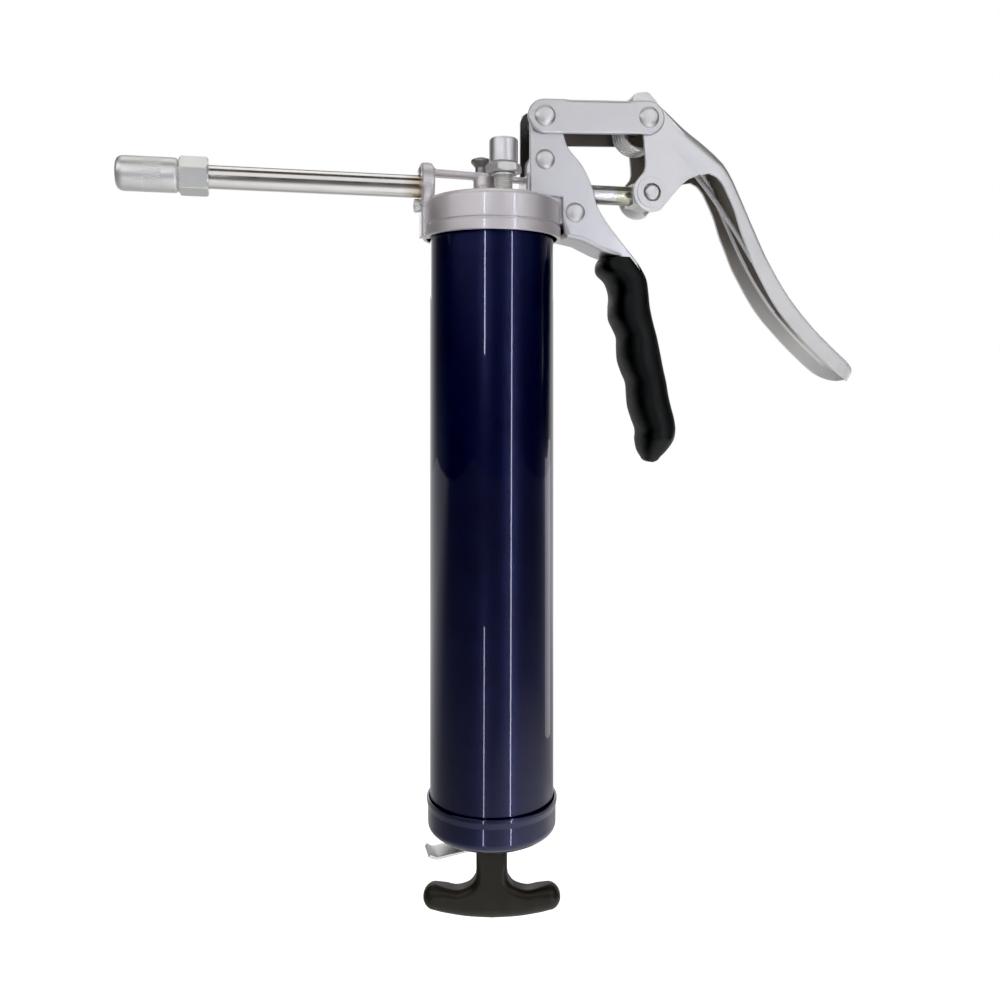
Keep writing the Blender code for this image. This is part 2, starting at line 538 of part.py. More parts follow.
def make_pins():
    for name, place in RIVETS.items():
        domed_pin(f"frame_rivet_{name}", place, PIN_R, PLATE_OUT + GAP, 4.3, HEAD)
    domed_pin("pivot_pin_a", PIN_A, PIN_R, LINK_OUT + GAP, 4.3, HEAD)
    domed_pin("pivot_pin_b", PIN_B, PIN_R, LINK_OUT + GAP, 4.3, LINK)
    end = 12.4
    profile = [(0, end), (PIN_C_R - 0.7, end), (PIN_C_R, end - 0.7), (PIN_C_R, 0.7 - end), (PIN_C_R - 0.7, -end),
               (0, -end)]
    turned("clevis_pin", profile, STEEL, at=(PIN_C[0], 0, PIN_C[1]), axis="Y", parent=PLUNGER)


def make_link():
    """The toggle link: two side plates joined by a folded top."""
    ax, az = PIN_A
    bx, bz = PIN_B
    slope = atan2(bz - az, bx - ax) * 180 / pi
    outline = arc(ax, az, LINK_R, 90 + slope, 270 + slope, 10) + arc(bx, bz, LINK_R, slope - 90, slope + 90, 10)
    link = solid(plate("toggle_link", [outline], 2 * LINK_OUT, CHROME, parent=LINK))
    inner = [(0, 0), (100, 0), (100, 60), (61.0, 60), (61.0, 39.4), (60.0, 39.9 - 2.0), (31.0, 36.8), (30.0, 38.3),
             (30.0, 60), (0, 60)]
    tool(link, solid(plate("link_channel", [inner], 2 * LINK_IN, CHROME)))
    for name, place in {"a": PIN_A, "b": PIN_B}.items():
        tool(link, rod(f"link_hole_{name}", PIN_HOLE, -20, 20, CHROME, at=(place[0], 0, place[1]), axis="Y",
                       sides=20))


LEVER_RIDGE = [(67.6, 47.7), (73.2, 47.2), (81.4, 40.4), (92.4, 31.4), (102.8, 24.0), (110.0, 17.4),
               (114.2, 10.6), (120.5, -2.7), (126.9, -16.1), (134.3, -30.5), (145.0, -46.9), (156.8, -60.4),
               (166.8, -70.0), (176.0, -79.0), (181.0, -83.6)]
LEVER_TIP = 181.0


def lever_sections():
    """Sections of the pressed channel along its ridge: flanges, rounded corners and an even wall."""
    ridge = smooth(LEVER_RIDGE, 2)
    wall, corner = 1.5, 3.0
    sections = []
    for i, (x, z) in enumerate(ridge):
        before, after = ridge[max(i - 1, 0)], ridge[min(i + 1, len(ridge) - 1)]
        run = hypot(after[0] - before[0], after[1] - before[1])
        nx, nz = (after[1] - before[1]) / run, -(after[0] - before[0]) / run
        spread = min(1.0, max(0.0, (x - 84.0) / 22.0))
        half = EAR_OUT + 0.1 + 1.5 * spread * spread * (3 - 2 * spread)
        depth = 7.6 + 2.2 * min(1.0, max(0.0, (x - 110.0) / 40.0))
        to_tip = min(1.0, max(0.0, (LEVER_TIP - x) / 11.0))
        half *= 0.62 + 0.38 * sqrt(1 - (1 - to_tip) ** 2)
        depth *= 0.55 + 0.45 * sqrt(1 - (1 - to_tip) ** 2)
        near = [(half, depth), (half, corner), (half - 0.3 * corner, 0.3 * corner), (half - corner, 0)]
        inner = [(half - wall, depth), (half - wall, corner), (half - corner, wall)]
        loop = near + [(-w, v) for w, v in near[::-1]] + [(-w, v) for w, v in inner] + inner[::-1]
        sections.append([(x + nx * v, w, z + nz * v) for w, v in loop])
    return sections


def make_lever():
    """The squeeze lever: the channel, two ears round the pivots, joined into one pressing."""
    lever = loft("lever", lever_sections(), CHROME, parent=LEVER)
    front = [(84.4, -1.3), (88.5, 3.5), (93.0, 7.2), (98.0, 8.6), (104.0, 8.4), (108.6, 9.4), (109.0, 14.0)]
    ridge = [(101.0, 22.0), (91.0, 29.4), (80.0, 37.6), (72.0, 44.3)]
    edge = [(68.6, 45.4), (69.6, 34.0), (70.2, 25.5), (71.4, 12.3), (69.2, 8.0)]
    outline = smooth(front, 2) + ridge + edge + arc(*PIN_C, 9.0, 145, 300, 10)
    middle, thick = (EAR_OUT + EAR_IN) / 2, EAR_OUT - EAR_IN
    for side, y in (("near", -middle), ("far", middle)):
        tool(lever, solid(plate(f"lever_ear_{side}", [outline], thick, CHROME, y=y)), "UNION")
    for name, place, radius in (("b", PIN_B, PIN_HOLE), ("c", PIN_C, PIN_C_HOLE)):
        tool(lever, rod(f"lever_hole_{name}", radius, -20, 20, CHROME, at=(place[0], 0, place[1]), axis="Y",
                        sides=20))


def make_return_spring():
    """The torsion spring hung on pin B inside the ears, with a leg on the link and one on the lever."""
    x, z, radius, turns, per_turn = PIN_B[0] - 1.1, PIN_B[1] - 4.0, 9.1, 4.5, 12
    width = 2 * EAR_IN - 4.0
    count = int(turns * per_turn)
    points = []
    for i in range(count + 1):
        angle = pi + 2 * pi * i / per_turn
        points.append((x + radius * cos(angle), width * (i / count - 0.5), z + radius * sin(angle)))
    points.insert(0, (points[0][0] - 0.4, points[0][1], points[0][2] - 9.0))
    coil("return_spring", points, 1.1, SPRING, parent=LEVER)


def make_plunger():
    rod("plunger_rod", PLUNGER_R, PLUNGER_TIP, 68.8, STEEL, axis="X", parent=PLUNGER)
    eye = arc(*PIN_C, 6.6, -128, 128, 12) + [(66.8, 5.3), (66.8, -5.3)]
    clevis = solid(plate("clevis", [eye], 12.0, ZINC, parent=PLUNGER))
    tool(clevis, rod("clevis_socket", PLUNGER_R + GAP, 50, 69.2, ZINC, axis="X"))
    tool(clevis, rod("clevis_hole", PIN_C_R + GAP, -20, 20, ZINC, at=(PIN_C[0], 0, PIN_C[1]), axis="Y", sides=20))


def build_gun():
    make_barrel()
    make_cap()
    make_lock()
    make_follower()
    make_rod()
    make_t_handle()
    make_follower_spring()
    make_head()
    make_head_fittings()
    make_bleeder()
    make_filler()
    make_pipe()
    make_coupler()
    make_handle_frame()
    make_grip()
    make_pins()
    make_link()
    make_lever()
    make_return_spring()
    make_plunger()


build_gun()
bpy.context.view_layer.update()
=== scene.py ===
"""Pistol-grip grease gun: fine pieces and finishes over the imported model, with a studio around it.

Places are in millimetres from the point where the pump axis crosses the barrel axis; spot() turns
them into metres in the model's own frame.
"""
import json
from math import atan2, copysign, cos, degrees, hypot, pi, radians, sin, sqrt, tan

import bmesh
import bpy
from mathutils import Matrix, Quaternion, Vector
from mathutils.bvhtree import BVHTree


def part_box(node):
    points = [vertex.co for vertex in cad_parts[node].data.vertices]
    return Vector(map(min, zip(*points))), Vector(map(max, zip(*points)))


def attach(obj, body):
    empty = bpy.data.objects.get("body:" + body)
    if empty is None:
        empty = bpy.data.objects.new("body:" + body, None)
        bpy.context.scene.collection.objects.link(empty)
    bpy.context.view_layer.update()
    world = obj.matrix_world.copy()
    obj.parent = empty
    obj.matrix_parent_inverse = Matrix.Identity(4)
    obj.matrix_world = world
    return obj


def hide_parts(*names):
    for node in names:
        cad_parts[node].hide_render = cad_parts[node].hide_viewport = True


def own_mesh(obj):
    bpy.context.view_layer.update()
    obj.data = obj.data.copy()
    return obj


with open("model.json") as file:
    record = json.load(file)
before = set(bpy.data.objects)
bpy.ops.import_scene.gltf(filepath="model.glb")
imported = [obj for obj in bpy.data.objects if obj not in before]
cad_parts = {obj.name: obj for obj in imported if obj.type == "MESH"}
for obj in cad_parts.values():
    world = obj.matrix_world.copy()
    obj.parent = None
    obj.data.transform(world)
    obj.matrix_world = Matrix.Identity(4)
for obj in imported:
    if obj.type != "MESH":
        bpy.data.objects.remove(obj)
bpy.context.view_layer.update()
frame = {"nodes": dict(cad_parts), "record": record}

MM = 0.001
pipe_low, pipe_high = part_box("delivery_pipe")
PUMP_Z = (pipe_low[2] + pipe_high[2]) / 2


def spot(x, y, z):
    return Vector((x * MM, y * MM, PUMP_Z + z * MM))


# shapes -----------------------------------------------------------------------------------------

def arc(x, z, radius, start, end, steps):
    """Points on an arc, from one angle to another in degrees."""
    angles = [radians(start + (end - start) * i / steps) for i in range(steps + 1)]
    return [(x + radius * cos(a), z + radius * sin(a)) for a in angles]


def smooth(points, steps=4):
    """Points of a Catmull-Rom curve through the ones given."""
    ends = [points[0], *points, points[-1]]
    out = []
    for a, b, c, d in zip(ends, ends[1:], ends[2:], ends[3:]):
        for i in range(steps):
            t = i / steps
            point = []
            for p, q, r, s in zip(a, b, c, d):
                bend, swing = 2 * p - 5 * q + 4 * r - s, 3 * q - p - 3 * r + s
                point.append(0.5 * (2 * q + (r - p) * t + bend * t ** 2 + swing * t ** 3))
            out.append(tuple(point))
    return [*out, points[-1]]


STRAIGHT, SHARE = 0.12, 0.45  # the least turn to round; how much of a side that may take


def eased(points, radius, closed=False, steps=3):
    """A polyline with each corner rounded; a point may carry its own radius as a third number."""
    out = []
    count = len(points)
    for i, point in enumerate(points):
        if not closed and i in (0, count - 1):
            out.append(point[:2])
            continue
        here = Vector(point[:2])
        before = Vector(points[i - 1][:2]) - here
        after = Vector(points[(i + 1) % count][:2]) - here
        r = point[2] if len(point) > 2 else radius
        turn = pi - before.angle(after, 0)
        if r <= 0 or turn < STRAIGHT:
            out.append(point[:2])
            continue
        reach = min(r * abs(tan(turn / 2)), SHARE * before.length, SHARE * after.length)
        a, c = here + before.normalized() * reach, here + after.normalized() * reach
        for k in range(steps + 1):
            t = k / steps
            out.append(tuple(a * (1 - t) ** 2 + here * 2 * t * (1 - t) + c * t ** 2))
    return out


def placed(name, data):
    """A new object in the scene."""
    obj = bpy.data.objects.new(name, data)
    bpy.context.scene.collection.objects.link(obj)
    return obj


def made(name, bm):
    """An object from a bmesh whose places are in millimetres."""
    for v in bm.verts:
        v.co = spot(*v.co)
    bmesh.ops.recalc_face_normals(bm, faces=bm.faces)
    mesh = bpy.data.meshes.new(name)
    bm.to_mesh(mesh)
    bm.free()
    return placed(name, mesh)


def skinned(name, bm, rows):
    """A closed body over rows that all have the same number of points."""
    for low, high in zip(rows, rows[1:]):
        for i in range(len(low)):
            j = (i + 1) % len(low)
            bm.faces.new((low[i], low[j], high[j], high[i]))
    bm.faces.new(rows[0])
    bm.faces.new(rows[-1])
    return made(name, bm)


def lathe(name, profile, axis="Z", at=(0, 0, 0), steps=96, closed=False, shape=None):
    """A turned piece from (radius, height) points; shape(r, h, angle) may change the radius."""
    order = {"Z": (0, 1, 2), "X": (2, 0, 1), "Y": (0, 2, 1)}[axis]
    bm = bmesh.new()
    rows = []
    for r, h in profile:
        if r == 0:
            ring = [(0, 0, h)]
        else:
            ring = []
            for i in range(steps):
                a = 2 * pi * i / steps
                q = shape(r, h, a) if shape else r
                ring.append((q * cos(a), q * sin(a), h))
        rows.append([bm.verts.new(Vector([p[k] for k in order]) + Vector(at)) for p in ring])
    for a, b in zip(rows, rows[1:] + rows[:1] if closed else rows[1:]):
        for i in range(steps):
            j = (i + 1) % steps
            if len(a) == 1 and len(b) == 1:
                break
            if len(a) == 1:
                bm.faces.new((a[0], b[i], b[j]))
            elif len(b) == 1:
                bm.faces.new((a[i], a[j], b[0]))
            else:
                bm.faces.new((a[i], a[j], b[j], b[i]))
    return made(name, bm)


def hexagon(flats, face, low=0.0, high=0.0, turned_down=0.0):
    """A lathe shape for the radii past a hexagon's corners, which are turned down at its ends."""
    corner, chamfer = flats / sqrt(3), 1.9

    def shape(r, h, a):
        if r < corner:
            return r
        turn = (a - face + pi / 6) % (pi / 3) - pi / 6
        limit = corner - turned_down + chamfer * min(h - low, high - h) if turned_down else r
        return min(flats / 2 / cos(turn), limit, r)
    return shape


SHARPEST = 0.6  # keeps a slab's rounding from running far out at a pointed corner


def slab(name, outline, half, rounding, y=0.0, steps=4):
    """A flat outline in X and Z, twice half thick along Y, with its edges rounded all round."""
    count = len(outline)
    points = [Vector(p[:2]) for p in outline]
    radii = [p[2] if len(p) > 2 else rounding for p in outline]
    area = sum(points[i - 1].cross(points[i]) for i in range(count))
    facing = 1 if area > 0 else -1
    out = []
    for i in range(count):
        a = (points[i] - points[i - 1]).normalized()
        b = (points[(i + 1) % count] - points[i]).normalized()
        na, nb = Vector((a.y, -a.x)), Vector((b.y, -b.x))
        mid = (na + nb).normalized() if (na + nb).length > 0.01 else na
        out.append(mid * facing / max(SHARPEST, mid.dot(na)))
    bm = bmesh.new()
    rows = []
    for side in (-1, 1):
        for k in range(steps + 1):
            t = pi / 2 * (k / steps - 1 if side < 0 else k / steps)
            row = []
            for p, n, r in zip(points, out, radii):
                q = p - n * r * (1 - cos(t))
                row.append(bm.verts.new((q.x, y + side * (half - r) + r * sin(t), q.y)))
            rows.append(row)
    return skinned(name, bm, rows)


def loft(name, sections):
    """A closed body through unlike sections."""
    bm = bmesh.new()
    return skinned(name, bm, [[bm.verts.new(p) for p in section] for section in sections])


def wire(name, points, radius, around=12):
    """A round wire through points, with turned-down ends."""
    bm = bmesh.new()
    line = [Vector(p) for p in points]
    last = len(line) - 1
    side = Vector((0, 1, 0.02))
    tip_reach, tip_width = 0.6, 0.7
    rows = []
    for i, p in enumerate(line):
        run = (line[min(i + 1, last)] - line[max(i - 1, 0)]).normalized()
        side = (side - run * side.dot(run)).normalized()
        up = run.cross(side)
        row = []
        for k in range(around):
            a = 2 * pi * k / around
            row.append(bm.verts.new(p + (side * cos(a) + up * sin(a)) * radius))
        rows.append(row)
        if i in (0, last):
            out = run * (1 if i else -1) * radius * tip_reach
            tip = [bm.verts.new(p + out + (Vector(q.co) - p) * tip_width) for q in row]
            rows.insert(len(rows) if i else 0, tip)
    return skinned(name, bm, rows)


def ribbon(points, thickness):
    """The closed outline of a strip of even thickness that follows a line of points."""
    above, below = [], []
    for i, (x, z) in enumerate(points):
        before, after = points[max(i - 1, 0)], points[min(i + 1, len(points) - 1)]
        run = hypot(after[0] - before[0], after[1] - before[1])
        nx, nz = -(after[1] - before[1]) / run, (after[0] - before[0]) / run
        above.append((x + nx * thickness / 2, z + nz * thickness / 2))
        below.append((x - nx * thickness / 2, z - nz * thickness / 2))
    return above + below[::-1]


def block(name, low, high):
    return slab(name, [(low[0], low[2]), (high[0], low[2]), (high[0], high[2]), (low[0], high[2])],
                (high[1] - low[1]) / 2, 0.01, y=(low[1] + high[1]) / 2, steps=1)


def rod(name, radius, start, end, axis="Y", at=(0, 0, 0), steps=64):
    line = [(0, start), (radius, start), (radius, end), (0, end)]
    return lathe(name, line, axis=axis, at=at, steps=steps)


def rise(radius, start, end, steps):
    """Profile points of even spacing along a straight wall, for a shape that changes along it."""
    return [(radius, start + (end - start) * k / steps) for k in range(steps + 1)]


def bake(obj):
    """Apply the modifiers of an object to its mesh."""
    bpy.context.view_layer.update()
    graph = bpy.context.evaluated_depsgraph_get()
    mesh = bpy.data.meshes.new_from_object(obj.evaluated_get(graph))
    obj.modifiers.clear()
    obj.data = mesh
    return obj


def shaped(obj, *tools, operation="DIFFERENCE"):
    """Cut the object with others, or join them to it, and remove them."""
    for tool in tools:
        step = obj.modifiers.new(tool.name, "BOOLEAN")
        step.object = tool
        step.operation = operation
        step.solver = "EXACT"
    bake(obj)
    for tool in tools:
        bpy.data.objects.remove(tool, do_unlink=True)
    return obj


def softened(obj, voxel, rounds):
    """Blend a joined body's creases as a casting has them: fine voxels, then smoothing."""
    step = obj.modifiers.new("voxels", "REMESH")
    step.mode = "VOXEL"
    step.voxel_size = voxel * MM
    relax = obj.modifiers.new("relax", "SMOOTH")
    relax.factor = 0.5
    relax.iterations = rounds
    return bake(obj)


def paint_inner_shade(obj, shade_paints, reach=0.03, lift=0.00005):
    """Paint shade on inner faces with darker finishes: each test is told the face, and whether a ray
    from it meets the same piece."""
    mesh = obj.data
    tree = BVHTree.FromPolygons([v.co for v in mesh.vertices], [p.vertices for p in mesh.polygons])
    for finish, _ in shade_paints:
        mesh.materials.append(finish)
    for face in mesh.polygons:
        start = face.center + face.normal * lift
        faced = tree.ray_cast(start, face.normal, reach)[0] is not None
        for index, (_, test) in enumerate(shade_paints, 1):
            if test(face, faced):
                face.material_index = index
                break


def is_faced(face, faced):
    return faced


def finished(obj, finish, angle, shade_paints=None):
    """Give a piece its finish, painted shade on the inner faces that the tests pick, and smooth
    shading, with its sharp edges kept.
    """
    obj.data.materials.clear()
    obj.data.materials.append(finish)
    if shade_paints:
        paint_inner_shade(obj, shade_paints)
    obj.data.shade_smooth()
    obj.data.set_sharp_from_angle(angle=radians(angle))


SLOTS = {row["node"]: row["material_slot"] for row in frame["record"]["subparts"]}


def piece(obj, finish, body, node, angle=34, shade_paints=None):
    """Finish a piece and hang it on its body, standing for the node named."""
    finished(obj, finish, angle, shade_paints)
    normals = obj.modifiers.new("normals", "WEIGHTED_NORMAL")
    normals.keep_sharp = True
    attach(obj, body)
    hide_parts(node)


# finishes ---------------------------------------------------------------------------------------

def ranged(tree, value, low, high, to_low, to_high):
    """Map a value from one range to another."""
    step = tree.nodes.new("ShaderNodeMapRange")
    ends = {"From Min": low, "From Max": high, "To Min": to_low, "To Max": to_high}
    for key, number in ends.items():
        step.inputs[key].default_value = number
    tree.links.new(value, step.inputs["Value"])
    return step.outputs["Result"]


class Look:
    """A Principled material with a few procedural layers, in the object's own metres."""

    def __init__(self, name, colour, roughness, metallic, coat=0.0, coat_roughness=0.03,
                 coat_ior=1.5, specular=0.5):
        self.material = bpy.data.materials.new(name)
        self.material.use_nodes = True
        self.tree = self.material.node_tree
        self.shader = self.tree.nodes["Principled BSDF"]
        self.place = self.node("ShaderNodeTexCoord").outputs["Object"]
        self.colour = None
        self.base = (*colour, 1)
        self.height = None
        values = {"Base Color": self.base, "Roughness": roughness, "Metallic": metallic,
                  "Coat Weight": coat, "Coat Roughness": coat_roughness, "Coat IOR": coat_ior,
                  "Specular IOR Level": specular}
        for key, value in values.items():
            self.shader.inputs[key].default_value = value

    def node(self, kind):
        return self.tree.nodes.new(kind)

    def link(self, a, b):
        self.tree.links.new(a, b)

    def noise(self, scale, detail, rough=0.55, stretch=(1, 1, 1)):
        """Noise whose scale counts its blotches per metre, stretched along an axis where asked."""
        mapping = self.node("ShaderNodeMapping")
        mapping.inputs["Scale"].default_value = stretch
        self.link(self.place, mapping.inputs["Vector"])
        texture = self.node("ShaderNodeTexNoise")
        texture.inputs["Scale"].default_value = scale
        texture.inputs["Detail"].default_value = detail
        texture.inputs["Roughness"].default_value = rough
        self.link(mapping.outputs["Vector"], texture.inputs["Vector"])
        return texture.outputs["Fac"]

    def range(self, value, low, high, to_low=0.0, to_high=1.0):
        return ranged(self.tree, value, low, high, to_low, to_high)

    def along(self, axis):
        split = self.node("ShaderNodeSeparateXYZ")
        self.link(self.place, split.inputs["Vector"])
        return split.outputs[axis]

    def tint(self, mask, colour, strength=1.0):
        """Mix another colour in where the mask says."""
        mix = self.node("ShaderNodeMix")
        mix.data_type = "RGBA"
        mix.inputs["A"].default_value = self.base
        mix.inputs["B"].default_value = (*colour, 1)
        if self.colour:
            self.link(self.colour, mix.inputs["A"])
        if strength < 1.0:
            mask = self.range(mask, 0.0, 1.0, 0.0, strength)
        self.link(mask, mix.inputs["Factor"])
        self.colour = mix.outputs["Result"]
        self.link(self.colour, self.shader.inputs["Base Color"])

    def rough(self, mask, low, high):
        self.link(self.range(mask, 0.3, 0.7, low, high), self.shader.inputs["Roughness"])

    def bump(self, mask, strength, distance):
        step = self.node("ShaderNodeBump")
        step.inputs["Strength"].default_value = strength
        step.inputs["Distance"].default_value = distance * MM
        self.link(mask, step.inputs["Height"])
        if self.height:
            self.link(self.height, step.inputs["Normal"])
        self.height = step.outputs["Normal"]
        self.link(self.height, self.shader.inputs["Normal"])


def enamel():
    """Metallic navy paint under clear lacquer."""
    look = Look("navy_enamel", (0.010, 0.011, 0.050), 0.33, 0.75, coat=1.0, coat_roughness=0.02,
                coat_ior=1.42)
    clouds, flakes, ripple = look.noise(60, 2), look.noise(9000, 2), look.noise(260, 2)
    look.tint(look.range(clouds, 0.35, 0.65), (0.012, 0.016, 0.068), 0.7)
    look.tint(look.range(flakes, 0.62, 0.7), (0.03, 0.035, 0.15), 0.5)
    look.bump(ripple, 0.05, 0.06)
    look.link(look.height, look.shader.inputs["Coat Normal"])
    return look.material


STAINS, GLOSS_CHANGES = 45, 110  # blotches per metre on every metal


def metal(name, colour, low, high, grain, strength, stretch=(1, 1, 1), coat=0.0, metallic=1.0):
    """Plated or cast metal: fine grain, with broad changes of gloss and a little staining."""
    look = Look(name, colour, (low + high) / 2, metallic, coat=coat, coat_roughness=0.06)
    stained = tuple(0.9 * c for c in colour)
    look.tint(look.range(look.noise(STAINS, 3), 0.4, 0.75), stained, 0.5)
    look.rough(look.noise(GLOSS_CHANGES, 3), low, high)
    look.bump(look.noise(grain, 3, 0.6, stretch), strength, 0.04)
    return look


ENAMEL = enamel()
CAST = metal("cast_aluminium", (0.80, 0.755, 0.775), 0.42, 0.52, grain=2200, strength=0.16,
             coat=0.7, metallic=0.8).material
PLATE = metal("nickel_plate", (0.70, 0.69, 0.71), 0.34, 0.42, grain=900, strength=0.05,
              coat=0.3).material
# Painted shade: INSIDE is a darkened copy of the plating, put on inner faces where shade falls
# across a channel.
INSIDE = metal("painted_shade_plating", (0.30, 0.275, 0.25), 0.42, 0.55, grain=900, strength=0.1).material
# Painted shade: SHADE is a near-black copy of the plating for deep recesses where little light
# reaches.
SHADE = metal("painted_deep_shade_plating", (0.10, 0.095, 0.09), 0.42, 0.55, grain=900, strength=0.1).material
RIVET = metal("rivet_nickel", (0.80, 0.79, 0.79), 0.36, 0.44, grain=1600, strength=0.06).material
NIPPLE = metal("nipple_steel", (0.34, 0.33, 0.32), 0.3, 0.4, grain=1600, strength=0.06).material
ZINC = metal("zinc_plate", (0.88, 0.88, 0.85), 0.38, 0.48, grain=2600, strength=0.14,
             metallic=0.85).material
TURNED = metal("turned_nickel", (0.82, 0.81, 0.83), 0.34, 0.44, grain=2400, strength=0.10).material
SPRING = metal("spring_steel", (0.86, 0.85, 0.83), 0.24, 0.34, grain=3000, strength=0.12,
               metallic=0.45).material
DARK_SPRING = metal("blued_spring", (0.16, 0.16, 0.17), 0.25, 0.4, grain=3000,
                    strength=0.12).material


def lever_plate(name, low, low_metal, high, high_metal, start, end):
    """Plating that goes from one colour and gloss at the spoon to another at the ears, over
    the heights given in millimetres."""
    look = metal(name, low, 0.40, 0.52, grain=1100, strength=0.10)
    up = look.range(look.along("Z"), PUMP_Z + start * MM, PUMP_Z + end * MM)
    look.tint(up, high)
    look.link(look.range(up, 0.0, 1.0, low_metal, high_metal), look.shader.inputs["Metallic"])
    return look.material


HOLLOW = (0.84, 0.83, 0.81)
# The spoon end of the lever's outside is paler and less metallic than the ears: partly a matt
# finish, partly painted light from below.
LEVER = lever_plate("lever_plate", (0.96, 0.95, 0.94), 0.22, (0.84, 0.83, 0.84), 0.9, -40, 8)
# Painted shade: the lever's inner walls and web go from HOLLOW at the spoon to darker colours
# towards the ears, where shade falls inside the channel.
LEVER_INSIDE = lever_plate("lever_inside_painted_shade", HOLLOW, 0.30, (0.43, 0.39, 0.345), 0.8, -54, -12)
LEVER_WEB = lever_plate("lever_web_painted_shade", HOLLOW, 0.30, (0.20, 0.18, 0.155), 0.85, -72, -54)


def pipe_steel():
    """Drawn steel: lengthwise drawing lines, and a straw tint next to the boss."""
    look = metal("drawn_pipe", (0.86, 0.83, 0.80), 0.15, 0.23, grain=1800, strength=0.05,
                 stretch=(0.04, 1, 1))
    heat_start, heat_end = -0.042, -0.034
    heat = look.range(look.along("X"), heat_start, heat_end)
    look.tint(heat, (0.42, 0.30, 0.16), 0.75)
    return look.material


def plunger_steel():
    """Ground steel with a yellow passivated end at the clevis."""
    look = metal("plunger_steel", (0.56, 0.545, 0.54), 0.20, 0.30, grain=2600, strength=0.05,
                 stretch=(0.2, 1, 1))
    bare_end, yellow_start = 0.0585, 0.0600
    look.tint(look.range(look.along("X"), bare_end, yellow_start), (0.42, 0.415, 0.31), 0.8)
    return look.material


def rubber(name, colour, roughness, grain=1500, strength=0.25, specular=0.45):
    """Matt rubber or plastic: fine grain, with a paler bloom here and there."""
    look = Look(name, colour, roughness, 0.0, specular=specular)
    look.tint(look.range(look.noise(70, 3), 0.4, 0.7), tuple(1.9 * c for c in colour), 0.5)
    look.rough(look.noise(160, 3), roughness - 0.07, roughness + 0.08)
    look.bump(look.noise(grain, 3, 0.6), strength, 0.08)
    return look.material


GRIP = rubber("grip_rubber", (0.006, 0.0065, 0.006), 0.44, 1700, 0.3, specular=0.28)
SEAL = rubber("seal_rubber", (0.02, 0.02, 0.02), 0.5)
PLASTIC = rubber("handle_plastic", (0.021, 0.0165, 0.0105), 0.40, 2000, 0.12, specular=0.36)
PIPE = pipe_steel()
PLUNGER = plunger_steel()

NAMED = {"navy_enamel": ENAMEL, "cast_aluminium": CAST, "chrome_plate": PLATE,
         "plated_steel": RIVET, "zinc_plate": ZINC, "spring_steel": DARK_SPRING,
         "grip_rubber": GRIP, "handle_plastic": PLASTIC, "seal_rubber": SEAL}
for node, slot in SLOTS.items():
    for held in frame["nodes"][node].material_slots:
        held.material = NAMED[slot]


# the gun's own measures -------------------------------------------------------------------------

BARREL_R, SKIRT_R, ROOF, SKIRT_FOOT = 28.5, 31.9, -4.4, -23.2
CAP_LIP_R, CAP_R, CAP_TOP, CAP_FLOOR = 30.0, 29.5, -279.0, -296.1
ROD_R, PIPE_R, PLUNGER_R = 3.0, 5.15, 4.5
PLATE_OUT, PLATE_IN, LINK_OUT, LINK_IN, LINK_R = 11.0, 9.0, 13.3, 11.3, 7.8
EAR_OUT, EAR_IN = 11.0, 9.4
PIN_A, PIN_B, PIN_C = (22.0, 32.3), (72.1, 34.5), (74.3, 0.0)
RIVETS = {"upper": (22.6, 12.9), "lower": (36.9, -10.9)}
BLEEDER, FILLER = (3.2, -10.5, 0), (-2.6, 11.5, 0)
GALLERY_Z = -8.7
HANDLE_TURN = radians(-12.5)


# barrel, cap, rod and T-handle ------------------------------------------------------------------

def make_barrel():
    """The barrel's plain tube, with its ends broken."""
    top, foot, inner = -14.5, -287.8, BARREL_R - 1.2
    tube = eased([(BARREL_R, top), (BARREL_R, foot), (inner, foot), (inner, top)], 0.3,
                 closed=True)
    barrel = lathe("barrel_tube_detail", tube, steps=192, closed=True)
    piece(barrel, ENAMEL, "barrel", "barrel_tube")


def make_cap():
    """The pressed cap: rolled lip, straight wall, rounded foot and a ring round the rod's hole."""
    outside = [(BARREL_R + 0.35, CAP_TOP - 0.1, 0.3), (CAP_LIP_R, CAP_TOP, 0.6),
               (CAP_LIP_R, CAP_TOP - 1.8, 1.2), (CAP_R, CAP_TOP - 4.4, 2.4),
               (CAP_R, CAP_FLOOR + 3.4, 4.4), (CAP_R - 4.0, CAP_FLOOR + 0.4, 4.0),
               (18.0, CAP_FLOOR + 0.2, 1.0), (16.8, CAP_FLOOR, 0.5), (ROD_R + 0.6, CAP_FLOOR, 0.2)]
    inside = [(ROD_R + 0.6, CAP_FLOOR + 0.7, 0.2), (CAP_R - 8.0, CAP_FLOOR + 0.7, 1.0),
              (CAP_R - 1.6, CAP_FLOOR + 8.0, 2.0), (BARREL_R + 0.35, CAP_FLOOR + 9.0, 0.2)]
    line = eased(outside + inside, 0.3, closed=True, steps=6)
    piece(lathe("end_cap_detail", line, steps=160, closed=True), ENAMEL, "barrel", "end_cap")


